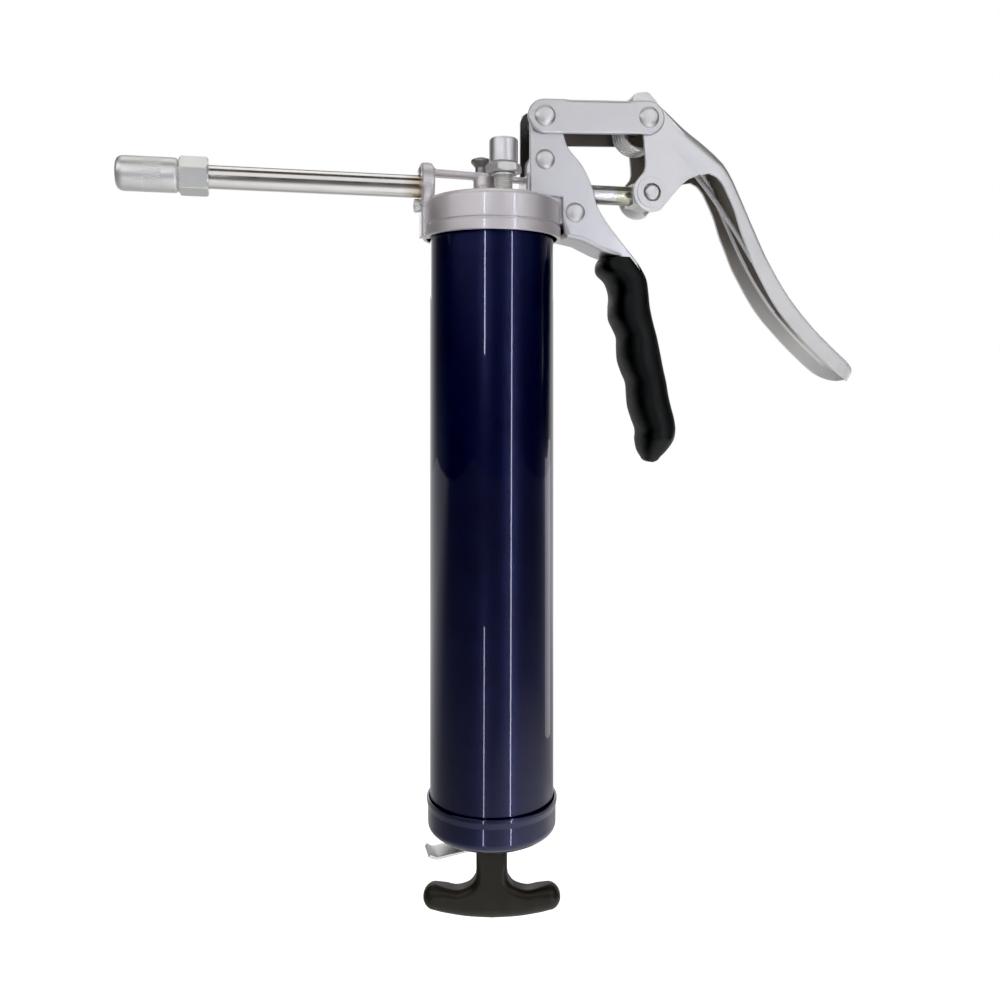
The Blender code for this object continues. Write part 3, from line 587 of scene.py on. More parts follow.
def make_rod_and_handle():
    """The follower rod, and the moulded T-handle: a stem that flares into two rounded wings."""
    line = [(0, -17.0), (ROD_R - 0.6, -17.0), (ROD_R, -17.8), (ROD_R, -31.7), (ROD_R + 2, -31.9),
            (ROD_R + 2, -34.0), (ROD_R, -34.2), (ROD_R, -324.0), (0, -324.0)]
    piece(lathe("follower_rod_detail", line, steps=48), RIVET, "rod", "follower_rod")
    span, tip_r = 31.7, 6.0
    flare = smooth([(-7.5, -317.2), (-10.4, -320.8), (-16.0, -322.5), (-21.0, -321.6)], 5)
    wing_tip = arc(-span + tip_r, -326.4, tip_r, 96, 245, 16)
    underside = smooth([(-23.0, -333.4), (-12.0, -335.2), (0.0, -335.9)], 5)
    half = [(-7.1, -303.5, 0.8), (-7.1, -314.5, 3.2)]
    for points, rounding in ((flare, 3.4), (wing_tip, 5.0), (underside, 5.5)):
        half += [(x, z, rounding) for x, z in points]
    outline = half + [(-x, z, r) for x, z, r in half[-2::-1]]
    handle = slab("t_handle_detail", outline, 5.8, 3.0, steps=8)
    handle.data.transform(Matrix.Rotation(HANDLE_TURN, 4, "Z"))
    shaped(handle, rod("handle_bore", ROD_R + 0.25, -323.9, -300, axis="Z"))
    piece(handle, PLASTIC, "rod", "t_handle", angle=50)


def make_lock():
    """The lock tab: a tilted strip that grips the rod, turned up at its free end."""
    line = [(11.0, -298.2), (9.5, -298.4), (-6.0, -300.9), (-22.0, -303.4), (-27.0, -303.9),
            (-30.0, -302.4)]
    strip = slab("lock_lever_detail", ribbon(smooth(line), 1.6), 6.0, 0.3, steps=2)
    shaped(strip, rod("lock_hole", ROD_R + 1.0, -310, -290, axis="Z"))
    piece(strip, ZINC, "lock", "lock_lever")


# head casting -----------------------------------------------------------------------------------

def make_head():
    """The cast head: a turned roof and skirt, and the boss, bar, neck and ear cast on them."""
    wall, groove, mouth = SKIRT_R - 0.4, SKIRT_R - 1.0, SKIRT_R - 1.9
    rim = [(0, ROOF), (13.0, ROOF), (SKIRT_R - 2.4, ROOF - 0.7, 3.0), (wall, ROOF - 2.6, 1.6),
           (wall, -17.1, 0.15), (groove, -17.5, 0.2), (groove, -18.0, 0.2), (SKIRT_R, -18.4, 0.4),
           (SKIRT_R, SKIRT_FOOT, 0.6), (mouth, SKIRT_FOOT, 0.3), (mouth, -13.0, 0.3), (0, -13.0)]
    head = lathe("head_casting_detail", eased(rim, 0.3, steps=5), steps=192)
    boss_line = eased([(0, -33.6), (10.9, -33.6), (10.9, -27.9), (0, -27.9)], 1.3)
    boss = lathe("boss", boss_line, axis="X", steps=72)
    rib = slab("rib", [(-33.3, -23.0), (-28.5, -23.0), (-28.5, -5.0), (-33.3, -5.0)], 5.3, 1.2)
    bar = slab("bar", [(-32.0, 4.9), (-2.0, 4.2), (-2.0, 7.4), (-32.0, 8.3)], 3.0, 1.4)
    tail = slab("bar_tail", [(-3.0, 3.9), (18.0, 3.7), (18.0, 6.1), (-3.0, 6.6)], 2.8, 1.0)
    knob = slab("bar_end", arc(-30.6, 7.0, 3.9, 0, 360, 20)[:-1], 3.6, 1.5)
    neck_line = [(0, 7.0), (5.2, 6.6, 1.5), (5.6, 1.0, 2.0), (8.0, -2.0, 3.0), (13.5, -4.6, 2.0),
                 (0, -5.6)]
    neck = lathe("neck", eased(neck_line, 1.0, steps=5), at=(-3.0, 1.0, 0), steps=48)
    ear_line = [(14.6, -6.0), (14.6, 5.6), (17.4, 8.2), *arc(*RIVETS["upper"], 5.2, 180, 60, 8),
                (33.0, 11.0), (41.5, 8.4), (41.5, -16.0), (29.9, -16.0), (29.9, -9.0)]
    ear = slab("pump_ear", ear_line, 8.7, 1.0)
    cast = shaped(boss, rib, bar, tail, knob, neck, ear, operation="UNION")
    cast.name = "head_bosses_detail"
    softened(cast, 0.42, 5)
    shaped(cast, rod("gland_bore", 6.7, 40.8, 60, axis="X"),
           rod("plunger_bore", 4.9, 16.0, 60, axis="X"))

    # Painted shade: the faces inside the skirt's mouth get the dark SHADE finish.
    def in_mouth(face, faced):
        x, y, z = face.center
        return hypot(x, y) < (SKIRT_R - 1.7) * MM and z < PUMP_Z - 12.5 * MM

    piece(head, CAST, "head", "head_casting", angle=30, shade_paints=[(SHADE, in_mouth)])
    finished(cast, CAST, angle=50)
    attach(cast, "head")


def make_fittings():
    """Gallery plug, gland nut, bleeder and filler nipple."""
    plug = [(0, -28.0), (2.7, -28.0), (2.7, -33.7), (3.1, -33.9, 0.2), (3.1, -36.2, 0.5),
            (1.5, -36.2), (1.5, -35.2), (0, -35.2)]
    turned = lathe("gallery_plug_detail", eased(plug, 0.12), axis="X", at=(0, 0, GALLERY_Z),
                   steps=48)
    piece(turned, ZINC, "head", "gallery_plug")

    bore, start, end = PLUNGER_R + 0.2, 41.8, 45.2
    gland = [(bore, 36.9), (6.3, 36.9), (6.3, start), *rise(10.2, start, end, 8), (bore, end)]
    piece(lathe("gland_nut_detail", gland, axis="X", closed=True,
                shape=hexagon(14.9, pi / 2 + pi / 6)), ZINC, "head", "gland_nut", angle=25)

    bottom, top, foot, thread_top, thread_depth = 5.5, 9.3, -4.3, 3.6, 0.35
    bolt = hexagon(14.6, pi / 2, bottom, top, 1.1)

    def threaded(r, h, a):
        if h >= thread_top:
            return bolt(r, h, a)
        return r - thread_depth * abs((h - a / (2 * pi)) % 1.0 * 2 - 1)
    stem = [(0, foot), *[(4.2, foot + 0.15 * k) for k in range(54)], (4.2, bottom - 0.1),
            *rise(9.0, bottom, top, 16), (2.2, top), (2.2, 14.0), (0, 14.0)]
    piece(lathe("bleeder_stem_detail", stem, at=BLEEDER, shape=threaded), ZINC, "head",
          "bleeder_stem", angle=28)
    washer = eased([(5.5, 5.1), (5.5, 4.0), (4.3, 4.0), (4.3, 5.1)], 0.25, closed=True)
    piece(lathe("bleeder_washer_detail", washer, at=BLEEDER, steps=72, closed=True), TURNED,
          "head", "bleeder_washer")
    knob = eased([(0, 15.0), (2.5, 15.0), (2.5, 9.4), (5.6, 9.4, 0.3), (6.1, 10.1, 0.3),
                  (6.55, 10.3, 0.4), (6.55, 20.2, 0.6), (5.9, 21.1, 0.4), (0, 21.3)], 0.2)
    piece(lathe("bleeder_knob_detail", knob, at=BLEEDER), TURNED, "knob", "bleeder_knob", angle=40)

    nipple = [(0, 17.2), (2.6, 17.2, 1.0), (5.0, 16.2, 0.9), (4.9, 15.0, 0.5), (2.9, 12.6, 0.8),
              (2.9, 1.5, 0.3), (3.0, -4.3), (0, -4.3)]
    piece(lathe("filler_nipple_detail", eased(nipple, 0.2, steps=5), at=FILLER, steps=64), NIPPLE,
          "head", "filler_nipple")


# delivery pipe and coupler ----------------------------------------------------------------------

def make_pipe():
    """The delivery pipe, straight from the outlet boss into the coupler."""
    tube = eased([(PIPE_R, -30.6), (PIPE_R, -130.7), (2.6, -130.7), (2.6, -30.6)], 0.2,
                 closed=True)
    piece(lathe("delivery_pipe_detail", tube, axis="X", closed=True), PIPE, "head",
          "delivery_pipe")


def make_coupler():
    """Hexagon body with turned-down corners, the sleeve with its knurled band, and the jaws."""
    left, right, pipe_bore = -138.2, -125.9, PIPE_R + 0.15
    profile = [(pipe_bore, -131.0), (pipe_bore, right), *rise(9.0, right, left, 24), (6.2, left),
               (6.2, -148.5), (4.3, -148.5), (4.3, -139.0), (2.6, -139.0), (2.6, -131.0)]
    nut = hexagon(15.0, -radians(13.4) + pi / 6, left, right, 1.3)
    piece(lathe("coupler_body_detail", profile, axis="X", steps=120, closed=True, shape=nut),
          ZINC, "head", "coupler_body", angle=25)

    tip, end, out = -164.0, -138.5, 7.55
    knurl_start, knurl_end, knurl_fade, knurl_depth = -153.2, -144.6, 0.6, 0.12
    starts, twist = 21, 2.2

    def knurl(r, h, a):
        if r < 7.4 or not knurl_start < h < knurl_end:
            return r
        fade = min(1.0, (h - knurl_start) / knurl_fade, (knurl_end - h) / knurl_fade)
        lines = abs(sin(starts * a + twist * h)) * abs(sin(starts * a - twist * h))
        return r - knurl_depth * fade * (1 - lines) ** 2
    band = [(out, knurl_start - 0.2 + 0.14 * k) for k in range(65)]
    outer = [(4.05, tip + 0.2), (4.3, tip), (5.5, tip), (6.5, tip + 0.5), (7.2, tip + 1.5),
             (7.5, tip + 2.6), (out, tip + 3.4), *band, (out, end - 1.5), (out - 0.25, end - 0.7),
             (out - 0.8, end)]
    inner = [(6.5, end), (6.5, tip + 4.0), (4.0, tip + 1.4)]
    piece(lathe("coupler_sleeve_detail", outer + inner, axis="X", steps=252, closed=True,
                shape=knurl), ZINC, "sleeve", "coupler_sleeve", angle=40)

    jaws_line = [(6.1, -151.6), (6.1, -159.4), (4.3, -161.9), (3.3, -161.9), (3.3, -151.6)]
    jaws = lathe("coupler_jaws_detail", eased(jaws_line, 0.2, closed=True), axis="X", closed=True)
    shaped(jaws, block("slit_a", (-170, -10, -0.4), (-154, 10, 0.4)),
           block("slit_b", (-170, -0.4, -10), (-154, 0.4, 10)))
    piece(jaws, RIVET, "jaws", "coupler_jaws")


# handle frame and grip --------------------------------------------------------------------------

TANG_FRONT = [(57.4, -30.6), (60.8, -42.0), (62.6, -60.0), (66.5, -80.0), (70.3, -98.0),
              (72.3, -106.0)]
TANG_BACK = [(82.4, -103.0), (81.6, -95.0), (79.6, -85.0), (75.6, -66.0), (72.6, -50.0),
             (70.4, -40.0)]


def make_frame():
    """The pressed channel: side plates with crisp rounded edges and a web folded between them."""
    crisp, fold = 0.8, 2.4
    back = [(66.8, -32.2), (58.3, -22.4), (51.8, -14.2), (47.8, -7.5), (45.4, 0.9), (40.6, 10.6),
            (34.3, 17.9), (31.9, 23.8), (30.4, 31.0)]
    outline = [(x, z, crisp) for x, z in arc(23.0, 33.0, 7.4, 10, 170, 20)]
    outline += [(15.7, 30.0, crisp), (15.7, 12.0, crisp), (15.7, -4.0, crisp), (30.9, -4.0, crisp),
                (31.0, -12.0, crisp), (32.2, -21.0, fold), (33.2, -22.4, fold),
                (40.6, -23.8, fold), (50.2, -28.1, fold), (57.4, -30.6, fold), (59.4, -36.6, fold),
                (68.9, -36.6, crisp)]
    outline += [(x, z, crisp) for x, z in smooth(back, 5)[:-1]]
    inner = [(5, 60), (5, -10), (31, -10), (31, -20.0), (40.2, -21.8), (49.5, -26.1),
             (58.8, -29.4), (60.8, -34.6), (75, -34.6), (75, 60)]
    tang = [*smooth(TANG_FRONT, 3), *arc(77.2, -106.0, 5.0, 200, 380, 8), *smooth(TANG_BACK, 3),
            (66.8, -33.0)]
    body = slab("handle_frame_detail", outline, PLATE_OUT, crisp)
    shaped(body, slab("tang", tang, 8.0, 0.8), operation="UNION")
    cutters = [slab("channel", inner, PLATE_IN, 0.02, steps=1)]
    for x, z in (PIN_A, *RIVETS.values()):
        cutters.append(rod("hole", 3.5, -20, 20, at=(x, 0, z)))
    shaped(body, *cutters)
    # Painted shade: the faces that look at the other plate get the dark SHADE finish.
    piece(body, PLATE, "head", "handle_frame", angle=30, shade_paints=[(SHADE, is_faced)])


def make_grip():
    """The moulded grip: four finger swells on its front, a smooth back and a rounded end."""
    heights = [-30.6, -33.5, -37.0, -41.0, -47.0, -53.0, -58.5, -63.0, -67.0, -72.0, -78.0, -83.5,
               -88.8, -95.0, -100.5, -106.0, -111.4, -116.5, -121.0, -124.5]
    front = [52.3, 51.1, 51.7, 55.9, 58.0, 57.7, 57.9, 60.1, 61.9, 62.0, 62.4, 64.3,
             66.6, 67.1, 67.7, 69.5, 71.5, 71.4, 71.9, 73.7]
    back = [67.9, 70.3, 72.4, 74.0, 74.8, 75.5, 76.7, 77.8, 78.9, 80.1, 81.4, 82.5,
            83.7, 84.8, 86.2, 87.7, 88.3, 87.2, 84.5, 81.3]
    rows = smooth(list(zip(heights, front, back)), 5)
    centre = (rows[-1][1] + rows[-1][2]) / 2
    wide = (rows[-1][2] - rows[-1][1]) / 2
    cap_rows, cap_depth, nearly_closed = 6, 2.3, 0.97
    for k in range(1, cap_rows + 1):
        t = k / cap_rows * pi / 2 * nearly_closed
        rows.append((heights[-1] - cap_depth * sin(t), centre - wide * cos(t),
                     centre + wide * cos(t)))
    half_width, around, squareness = 13.4, 56, 0.8
    end, end_run, collar, collar_run, drawn_in = -127.6, 12.0, -38.0, 7.4, 0.12
    sections = []
    for z, x0, x1 in rows:
        rounded_end = min(1.0, sqrt(max(0.02, (z - end) / end_run)))
        narrowed_mouth = 1 - drawn_in * max(0.0, (z - collar) / collar_run)
        half_y = half_width * rounded_end * narrowed_mouth
        mid, half_x = (x0 + x1) / 2, (x1 - x0) / 2
        section = []
        for i in range(around):
            a = 2 * pi * i / around
            px = mid + half_x * copysign(abs(cos(a)) ** squareness, cos(a))
            py = half_y * copysign(abs(sin(a)) ** squareness, sin(a))
            section.append((px, py, z))
        sections.append(section)
    first, lip_turned_in = sections[0], 0.06
    inward = Vector((sum(p[0] for p in first) / len(first), 0, first[0][2] + 0.9))
    lip = [tuple(Vector(p).lerp(inward, lip_turned_in)) for p in first]
    grip = loft("grip_sleeve_detail", [lip] + sections)
    mouth = [(55.6, -28.0), (58.8, -37.2), (69.6, -37.2), (64.6, -28.0)]
    shaped(grip, slab("grip_mouth", mouth, PLATE_OUT + 0.25, 0.02, steps=1))
    piece(grip, GRIP, "head", "grip_sleeve", angle=50)


# link, lever, pins and springs ------------------------------------------------------------------

def make_pins():
    """Domed rivets and pins, each head with a soft shoulder over a shallow rim."""
    def pin(name, place, body, half, angle):
        line = half + [(r, -h) for r, h in half[::-1]]
        turned = lathe(name + "_detail", line, axis="Y", at=(place[0], 0, place[1]), steps=64)
        piece(turned, RIVET, body, name, angle=angle)

    def domed(name, place, body, plate, radius):
        seat = plate + 0.08
        dome = [(0, 1.7), (1.8, 1.66), (radius - 1.4, 1.4), (radius - 0.6, 0.95),
                (radius - 0.12, 0.4), (radius, 0.12)]
        half = smooth([(r, seat + h) for r, h in dome], 3) + [(radius - 0.15, seat), (3.2, seat)]
        pin(name, place, body, half, 50)
    for key, place in RIVETS.items():
        domed(f"frame_rivet_{key}", place, "head", PLATE_OUT, 4.6)
    domed("pivot_pin_a", PIN_A, "head", LINK_OUT, 4.9)
    domed("pivot_pin_b", PIN_B, "link", LINK_OUT, 4.9)
    end = 12.4
    half = smooth([(0, end - 0.1), (2.2, end), (2.9, end - 0.1), (3.4, end - 0.6)], 3)
    pin("clevis_pin", PIN_C, "plunger", half, 34)


def make_link():
    """The toggle link: two side plates joined by a folded top."""
    (ax, az), (bx, bz) = PIN_A, PIN_B
    slope = degrees(atan2(bz - az, bx - ax))
    up = Vector((-sin(radians(slope)), cos(radians(slope)))) * LINK_R
    along = Vector((bx - ax, bz - az))
    top = [Vector(PIN_A) + along * t + up for t in (0.87, 0.80, 0.25, 0.18)]
    outline = [*arc(ax, az, LINK_R, slope + 90, slope + 270, 28),
               *arc(bx, bz, LINK_R, slope - 90, slope + 90, 28),
               *[(p.x, p.y, r) for p, r in zip(top, (0.85, 1.9, 1.9, 0.85))]]
    link = slab("toggle_link_detail", outline, LINK_OUT, 0.85)
    inner = [(0, 0), (100, 0), (100, 60), (61.0, 60), (61.0, 39.4), (60.0, 37.9), (31.0, 36.8),
             (30.0, 38.3), (30.0, 60), (0, 60)]
    holes = [rod("hole", 3.5, -20, 20, at=(x, 0, z)) for x, z in (PIN_A, PIN_B)]
    shaped(link, slab("link_channel", inner, LINK_IN, 0.02, steps=1),
           block("end_trim", (0, 1, 0), (17.2, 20, 60)), *holes)
    # Painted shade: the faces that look across the channel get the darker INSIDE finish.
    piece(link, PLATE, "link", "toggle_link", angle=30, shade_paints=[(INSIDE, is_faced)])


LEVER_RIDGE = [(71.4, 46.9), (74.6, 44.9), (81.4, 40.0), (92.4, 31.4), (102.8, 24.0),
               (110.0, 17.4), (114.2, 10.6), (120.5, -2.7), (126.9, -16.1), (134.3, -30.5),
               (145.0, -46.9), (156.8, -60.4), (166.8, -69.8), (175.6, -77.2), (184.0, -83.0)]
LEVER_WALLS = [(60, 7.0, 11.0, 11.0, 3.0), (82, 9.0, 11.0, 11.0, 4.0),
               (92, 13.0, 11.6, 11.0, 6.0), (103, 14.5, 12.4, 11.05, 7.0),
               (108.5, 14.0, 12.5, 11.2, 6.5), (112, 9.6, 12.5, 11.9, 5.0),
               (113.5, 7.6, 12.5, 12.3, 4.2), (114.8, 6.6, 12.5, 12.5, 3.6),
               (116.5, 6.2, 12.5, 12.5, 3.2), (120, 6.0, 12.5, 12.5, 3.0),
               (127, 7.6, 12.4, 12.4, 3.0), (134, 8.6, 12.1, 12.1, 3.0),
               (145, 9.2, 11.8, 11.8, 3.0), (160, 8.8, 11.5, 11.5, 3.0),
               (200, 8.0, 11.4, 11.4, 3.0)]


def walls_at(x):
    """At a place along X: how deep the lever's walls are, then half its width, half its mouth
    and its corner's radius."""
    for (x0, *before), (x1, *after) in zip(LEVER_WALLS, LEVER_WALLS[1:]):
        if x <= x1:
            t = (x - x0) / (x1 - x0)
            t = t * t * (3 - 2 * t)
            return [a + (b - a) * t for a, b in zip(before, after)]
    return LEVER_WALLS[-1][1:]


def make_lever():
    """The squeeze lever: a pressed channel with rounded shoulders, a spoon end and pivot ears."""
    wall, spoon, spoon_rows, spoon_depth = 1.5, 13.0, 14, 0.6
    ridge = smooth(LEVER_RIDGE, 6)
    travelled = [0.0]
    for (x0, z0), (x1, z1) in zip(ridge, ridge[1:]):
        travelled.append(travelled[-1] + hypot(x1 - x0, z1 - z0))
    total = travelled[-1]
    stations = [s for s in travelled if s < total - spoon]
    stations += [total - spoon * cos(pi / 2 * k / spoon_rows) for k in range(spoon_rows + 1)]
    sections = []
    for s in stations:
        i = max(k for k, reach in enumerate(travelled[:-1]) if reach <= s + 1e-6)
        (x0, z0), (x1, z1) = ridge[i], ridge[i + 1]
        run = travelled[i + 1] - travelled[i]
        t = (s - travelled[i]) / run
        x, z = x0 + (x1 - x0) * t, z0 + (z1 - z0) * t
        nx, nz = (z1 - z0) / run, -(x1 - x0) / run
        depth, half, mouth, corner = walls_at(x)
        round_off = sqrt(max(0.0, 1 - (1 - min(1.0, (total - s) / spoon)) ** 2))
        least = wall + 0.25
        half, mouth = max(least, half * round_off), max(least, mouth * round_off)
        depth *= spoon_depth + (1 - spoon_depth) * round_off
        r = min(corner, 0.8 * half)
        inner_r = max(0.1, r - wall)
        shoulder = arc(half - r, r, r, 0, -90, 6)
        inside = arc(half - wall - inner_r, wall + inner_r, inner_r, -90, 0, 6)
        near = [(mouth, depth), *shoulder]
        loop = near + [(-w, v) for w, v in near[::-1]]
        hollow = [*inside, (mouth - wall, depth)]
        loop += [(-w, v) for w, v in hollow[::-1]] + hollow
        sections.append([(x + nx * v, w, z + nz * v) for w, v in loop])
    lever = loft("lever_detail", sections)
    front = [(84.4, -1.3), (88.5, 3.5), (93.0, 7.2), (97.0, 8.8), (99.4, 10.4), (100.0, 14.0)]
    crown = [(75.2, 43.9), (74.3, 45.3), (72.8, 46.6), (71.4, 46.9), (69.0, 46.5), (66.6, 45.9),
             (65.3, 45.0), (64.8, 43.6)]
    top = [(97.0, 22.0), (90.0, 29.4), (81.0, 38.0), *smooth(crown, 3)]
    edge = [(65.4, 40.6), (68.4, 34.0), (70.2, 25.5), (71.4, 12.3), (69.2, 8.0)]
    outline = smooth(front, 4) + top + smooth(edge, 3) + arc(*PIN_C, 9.0, 145, 300, 24)
    thick = (EAR_OUT - EAR_IN) / 2
    parts = []
    for side in (-1, 1):
        middle = side * (EAR_OUT + EAR_IN) / 2
        parts.append(slab("ear", outline, thick, 0.3, y=middle, steps=2))
        low = min(side * (EAR_OUT - 0.3), side * (EAR_OUT + 0.45))
        rim = eased([(0, low), (7.4, low), (7.4, low + 0.75), (0, low + 0.75)], 0.35)
        parts.append(lathe("boss", rim, axis="Y", at=(PIN_C[0], 0, PIN_C[1]), steps=64))
    web = smooth([(76.4, 42.2), (74.4, 44.2), (72.2, 46.0), (69.0, 45.7), (66.4, 44.9),
                  (65.6, 43.4)], 3)
    parts.append(slab("crown_web", ribbon(web, 1.4), EAR_OUT - 0.2, 0.2, steps=2))
    shaped(lever, *parts, operation="UNION")
    holes = [rod("hole", r, -20, 20, at=(x, 0, z)) for (x, z), r in ((PIN_B, 3.5), (PIN_C, 4.3))]
    shaped(lever, *holes)

    # Painted shade: these tests pick the web's and the walls' inner faces for the darker finishes.
    def in_web(face, faced):
        inward = face.normal.dot(Vector((-0.85, 0, -0.5)))
        return inward > 0.3 and abs(face.center.y) < 9.3 * MM and face.center.x > 66 * MM

    def in_wall(face, faced):
        return faced and (face.center.x > 88 * MM or face.center.z > PUMP_Z)

    piece(lever, LEVER, "lever", "lever", angle=35,
          shade_paints=[(LEVER_WEB, in_web), (LEVER_INSIDE, in_wall)])


def make_return_spring():
    """A coil round pin B: its short leg lies under the link, its long one in the lever."""
    x, z, radius, turns, per_turn = PIN_B[0] - 1.1, PIN_B[1] - 4.2, 9.3, 4.4, 40
    pitch, wire_r, aside = 3.4, 1.25, -0.3
    count = int(turns * per_turn)
    leaves_at = radians(45)
    coil = []
    for i in range(count + 1):
        angle = leaves_at + 2 * pi * (count - i) / per_turn
        y = pitch * (i / per_turn - turns / 2) + aside
        coil.append((x + radius * cos(angle), y, z + radius * sin(angle)))
    (sx, sy, sz), (_, ey, _) = coil[0], coil[-1]
    lead = [(sx - 4.6, sy, sz + 0.9), (sx - 2.6, sy, sz + 0.9)]
    leg = smooth([(81.6, ey, 34.2), (89.5, ey - 1.4, 27.6), (104.4, ey - 5.4, 9.6),
                  (118.6, ey - 7.0, -10.0), (131.0, ey - 7.5, -29.0)], 6)
    piece(wire("return_spring_detail", lead + coil + leg, wire_r), SPRING, "lever",
          "return_spring")


def helix(low, high, wide_low, wide_high, turns, per_turn=24):
    """Points of a coil that climbs along Z, its radius going from one to the other."""
    count = turns * per_turn
    out = []
    for i in range(count + 1):
        a, t = 2 * pi * i / per_turn, i / count
        r = wide_low + (wide_high - wide_low) * t
        out.append((r * cos(a), r * sin(a), low + (high - low) * t))
    return out


def make_inner_springs():
    """The springs that shorten with a joint: below the follower, by the jaws and at the lock."""
    coil = wire("follower_spring_detail", helix(-293.5, -32.9, 20.6, 14.0, 12), 1.2)
    piece(coil, DARK_SPRING, "barrel", "follower_spring")
    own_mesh(coil)
    turned = [(z, x, y) for x, y, z in helix(-139.8, -147.8, 3.4, 3.4, 4)]
    small = wire("coupler_spring_detail", turned, 0.4)
    piece(small, DARK_SPRING, "head", "coupler_spring")
    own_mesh(small)
    leaf = [(-6.5, -297.3), (-17.5, -297.3), (-19.8, -298.4), (-19.0, -299.7), (-13.5, -300.4)]
    strip = slab("lock_spring_detail", ribbon(smooth(leaf, 3), 0.4), 4.0, 0.12, steps=2)
    piece(strip, DARK_SPRING, "barrel", "lock_spring")
    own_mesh(strip)


def make_plunger():
    """The pump's plunger and the clevis that joins it to the lever."""
    shaft = eased([(0, 31.5), (PLUNGER_R, 31.5), (PLUNGER_R, 68.8), (0, 68.8)], 0.3)
    piece(lathe("plunger_rod_detail", shaft, axis="X", steps=72), PLUNGER, "plunger",
          "plunger_rod")
    eye = arc(*PIN_C, 6.6, -128, 128, 28) + [(66.8, 4.9), (66.8, -4.9)]
    clevis = slab("clevis_detail", eye, 6.0, 0.8)
    shaped(clevis, rod("socket", PLUNGER_R + 0.1, 50, 69.2, axis="X"),
           rod("hole", 3.65, -20, 20, at=(PIN_C[0], 0, PIN_C[1])))
    piece(clevis, ZINC, "plunger", "clevis")


for make in (make_barrel, make_cap, make_rod_and_handle, make_lock, make_head, make_fittings,
             make_pipe, make_coupler, make_frame, make_grip, make_pins, make_link, make_lever,
             make_return_spring, make_plunger, make_inner_springs):
    make()


# studio -----------------------------------------------------------------------------------------

def unless_seen(tree, glow):
    """Full strength where the camera sees it, and the glow where the gun reflects it."""
    pick = tree.nodes.new("ShaderNodeMix")
    pick.data_type = "FLOAT"
    ray = tree.nodes.new("ShaderNodeLightPath").outputs["Is Camera Ray"]
    tree.links.new(ray, pick.inputs["Factor"])
    tree.links.new(glow, pick.inputs["A"])
    pick.inputs["B"].default_value = 1.0
    return pick.outputs["Result"]


FLOOR_SIZE, FLOOR_Z = 6.0, -0.46
FRONT_GLOW = {"low": 0.25, "high": 0.95, "to_low": 0.66, "to_high": 0.03}  # by distance
BACK_GLOW = {"low": 0.4, "high": 1.6, "to_low": 0.0, "to_high": 0.5}  # by Y
SKY_GLOW = {"low": 0.5, "high": 1.0, "to_low": 0.05, "to_high": 0.75}  # by how far it is behind


def make_floor():
    """A wide pale floor, brightest under the gun and behind it."""
    bm = bmesh.new()
    bmesh.ops.create_grid(bm, x_segments=1, y_segments=1, size=FLOOR_SIZE)
    mesh = bpy.data.meshes.new("floor")
    bm.to_mesh(mesh)
    bm.free()
    floor = placed("floor", mesh)
    floor.location = (0, 0, FLOOR_Z)
    pale = bpy.data.materials.new("pale_floor")
    pale.use_nodes = True
    tree = pale.node_tree
    shader = tree.nodes["Principled BSDF"]
    shader.inputs["Base Color"].default_value = (0.8, 0.8, 0.8, 1)
    shader.inputs["Roughness"].default_value = 0.9
    shader.inputs["Emission Color"].default_value = (1, 1, 1, 1)
    place = tree.nodes.new("ShaderNodeTexCoord").outputs["Object"]
    far = tree.nodes.new("ShaderNodeVectorMath")
    far.operation = "DISTANCE"
    tree.links.new(place, far.inputs[0])
    far.inputs[1].default_value = (0.4, -0.3, 0)
    front = ranged(tree, far.outputs["Value"], **FRONT_GLOW)
    split = tree.nodes.new("ShaderNodeSeparateXYZ")
    tree.links.new(place, split.inputs["Vector"])
    behind = ranged(tree, split.outputs["Y"], **BACK_GLOW)
    most = tree.nodes.new("ShaderNodeMath")
    most.operation = "MAXIMUM"
    tree.links.new(front, most.inputs[0])
    tree.links.new(behind, most.inputs[1])
    glow = most.outputs["Value"]
    tree.links.new(unless_seen(tree, glow), shader.inputs["Emission Strength"])
    mesh.materials.append(pale)


def make_sky():
    """A white backdrop behind the gun that falls off to a dim room in front of it."""
    world = bpy.data.worlds.new("studio")
    bpy.context.scene.world = world
    world.use_nodes = True
    tree = world.node_tree
    aim = tree.nodes.new("ShaderNodeTexCoord").outputs["Generated"]
    dot = tree.nodes.new("ShaderNodeVectorMath")
    dot.operation = "DOT_PRODUCT"
    tree.links.new(aim, dot.inputs[0])
    dot.inputs[1].default_value = (0.216, 0.976, 0)
    glow = ranged(tree, dot.outputs["Value"], **SKY_GLOW)
    backdrop = tree.nodes["Background"]
    tree.links.new(unless_seen(tree, glow), backdrop.inputs["Strength"])
    backdrop.inputs["Color"].default_value = (1, 1, 1, 1)


def around(azimuth, distance, height):
    """A place at an azimuth from the front, in degrees towards +X."""
    a = radians(azimuth)
    return Vector((distance * sin(a), -distance * cos(a), height))


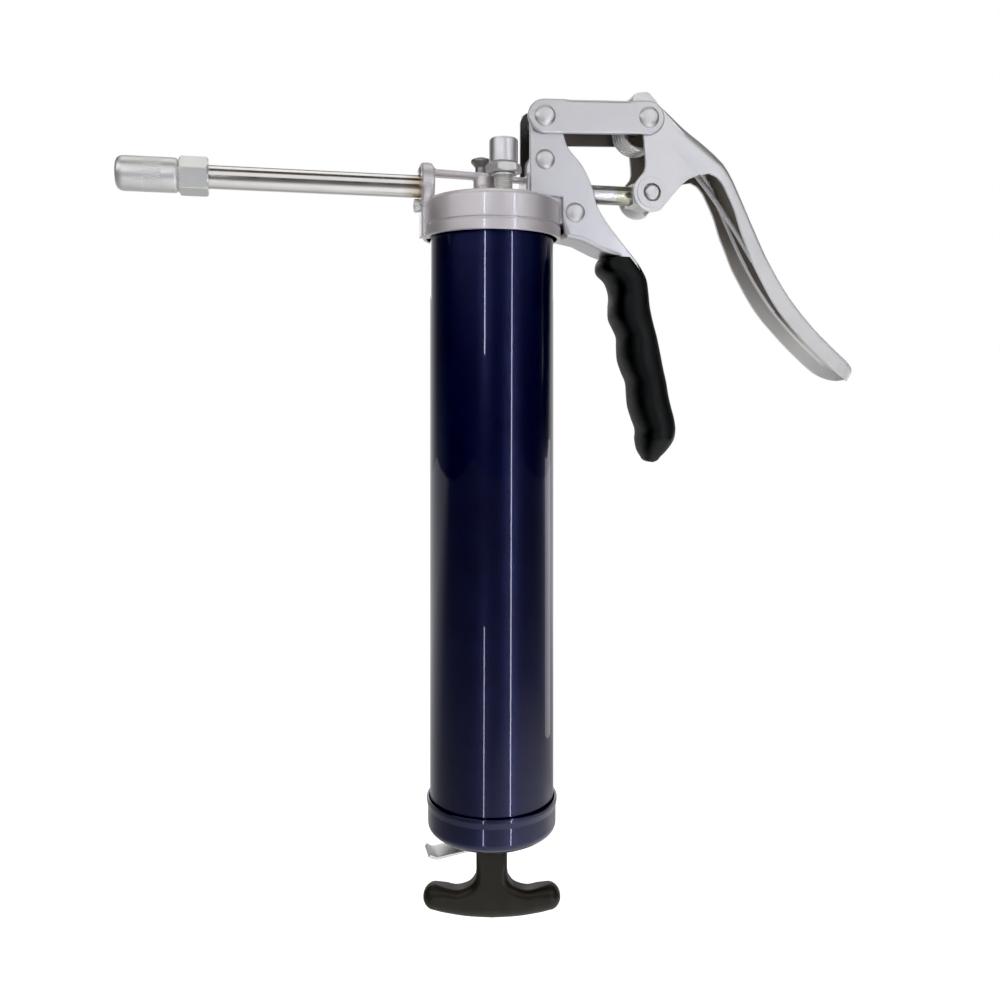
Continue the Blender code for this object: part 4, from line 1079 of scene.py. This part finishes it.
def light(name, place, size, radiance, aim=None, roll=0.0, colour=(1, 1, 1)):
    """A rectangular area light that faces a place, or straight in at its own height."""
    data = bpy.data.lights.new(name, "AREA")
    data.color = colour
    data.shape = "RECTANGLE"
    data.size, data.size_y = size
    data.energy = radiance * pi * size[0] * size[1]
    obj = placed(name, data)
    obj.location = place
    towards = Vector(aim or (0, 0, place.z)) - place
    obj.rotation_mode = "QUATERNION"
    tilt = Quaternion((0, 0, 1), radians(roll))
    obj.rotation_quaternion = towards.to_track_quat("-Z", "Y") @ tilt


BLACK = 0.006  # the photograph's blacks are deeper than the render's
COOL = (0.86, 0.89, 1.0)


def studio():
    """Narrow strips in front draw the barrel's bright lines; soft panels fill from above and
    from the sides."""
    view = bpy.context.scene.view_settings
    view.view_transform = "Standard"
    view.use_curve_mapping = True
    view.curve_mapping.black_level = (BLACK, BLACK, BLACK)
    make_floor()
    make_sky()
    light("strip_right", around(22.8, 0.62, -0.09), (0.019, 0.72), 17.0, roll=-3.5, colour=COOL)
    light("strip_left_high", around(-24.0, 0.62, 0.2), (0.020, 0.2), 19.0, roll=-3.5, colour=COOL)
    light("strip_left_low", around(-26.0, 0.62, -0.315), (0.019, 0.27), 12.0, roll=-3.5,
          colour=COOL)
    light("box_front", around(4, 0.80, 0.62), (1.2, 0.62), 0.82, aim=(0.02, 0, 0.13))
    light("box_left", around(-62, 0.80, 0.50), (0.8, 0.46), 1.3, aim=(0, 0, 0.13))
    light("box_right", around(52, 0.78, 0.47), (0.5, 0.42), 0.75, aim=(0.12, 0, 0.12))
    light("box_top", Vector((0, 0.15, 1.15)), (1.3, 0.7), 1.0, aim=(0, 0, 0.1))
    light("box_rim", around(114, 0.9, -0.2), (0.35, 0.4), 1.0)
    light("box_back", around(175, 1.0, 0.45), (0.9, 0.5), 0.9, aim=(0, 0, 0.1))


def camera():
    """The camera stands level in front of the gun, a little to the pipe's side."""
    turn, away, aside, below_pump = radians(12.5), 461.4, -3.8, 96.7
    data = bpy.data.cameras.new("camera")
    data.lens, data.sensor_width, data.shift_y = 35.892, 36, -0.101
    data.clip_start = 0.01
    obj = placed("camera", data)
    look, right = Vector((sin(turn), cos(turn), 0)), Vector((cos(turn), -sin(turn), 0))
    stand = -(look * away + right * aside) * MM
    obj.location = (stand.x, stand.y, PUMP_Z - below_pump * MM)
    obj.rotation_euler = (pi / 2, 0, -turn)
    bpy.context.scene.camera = obj


studio()
camera()
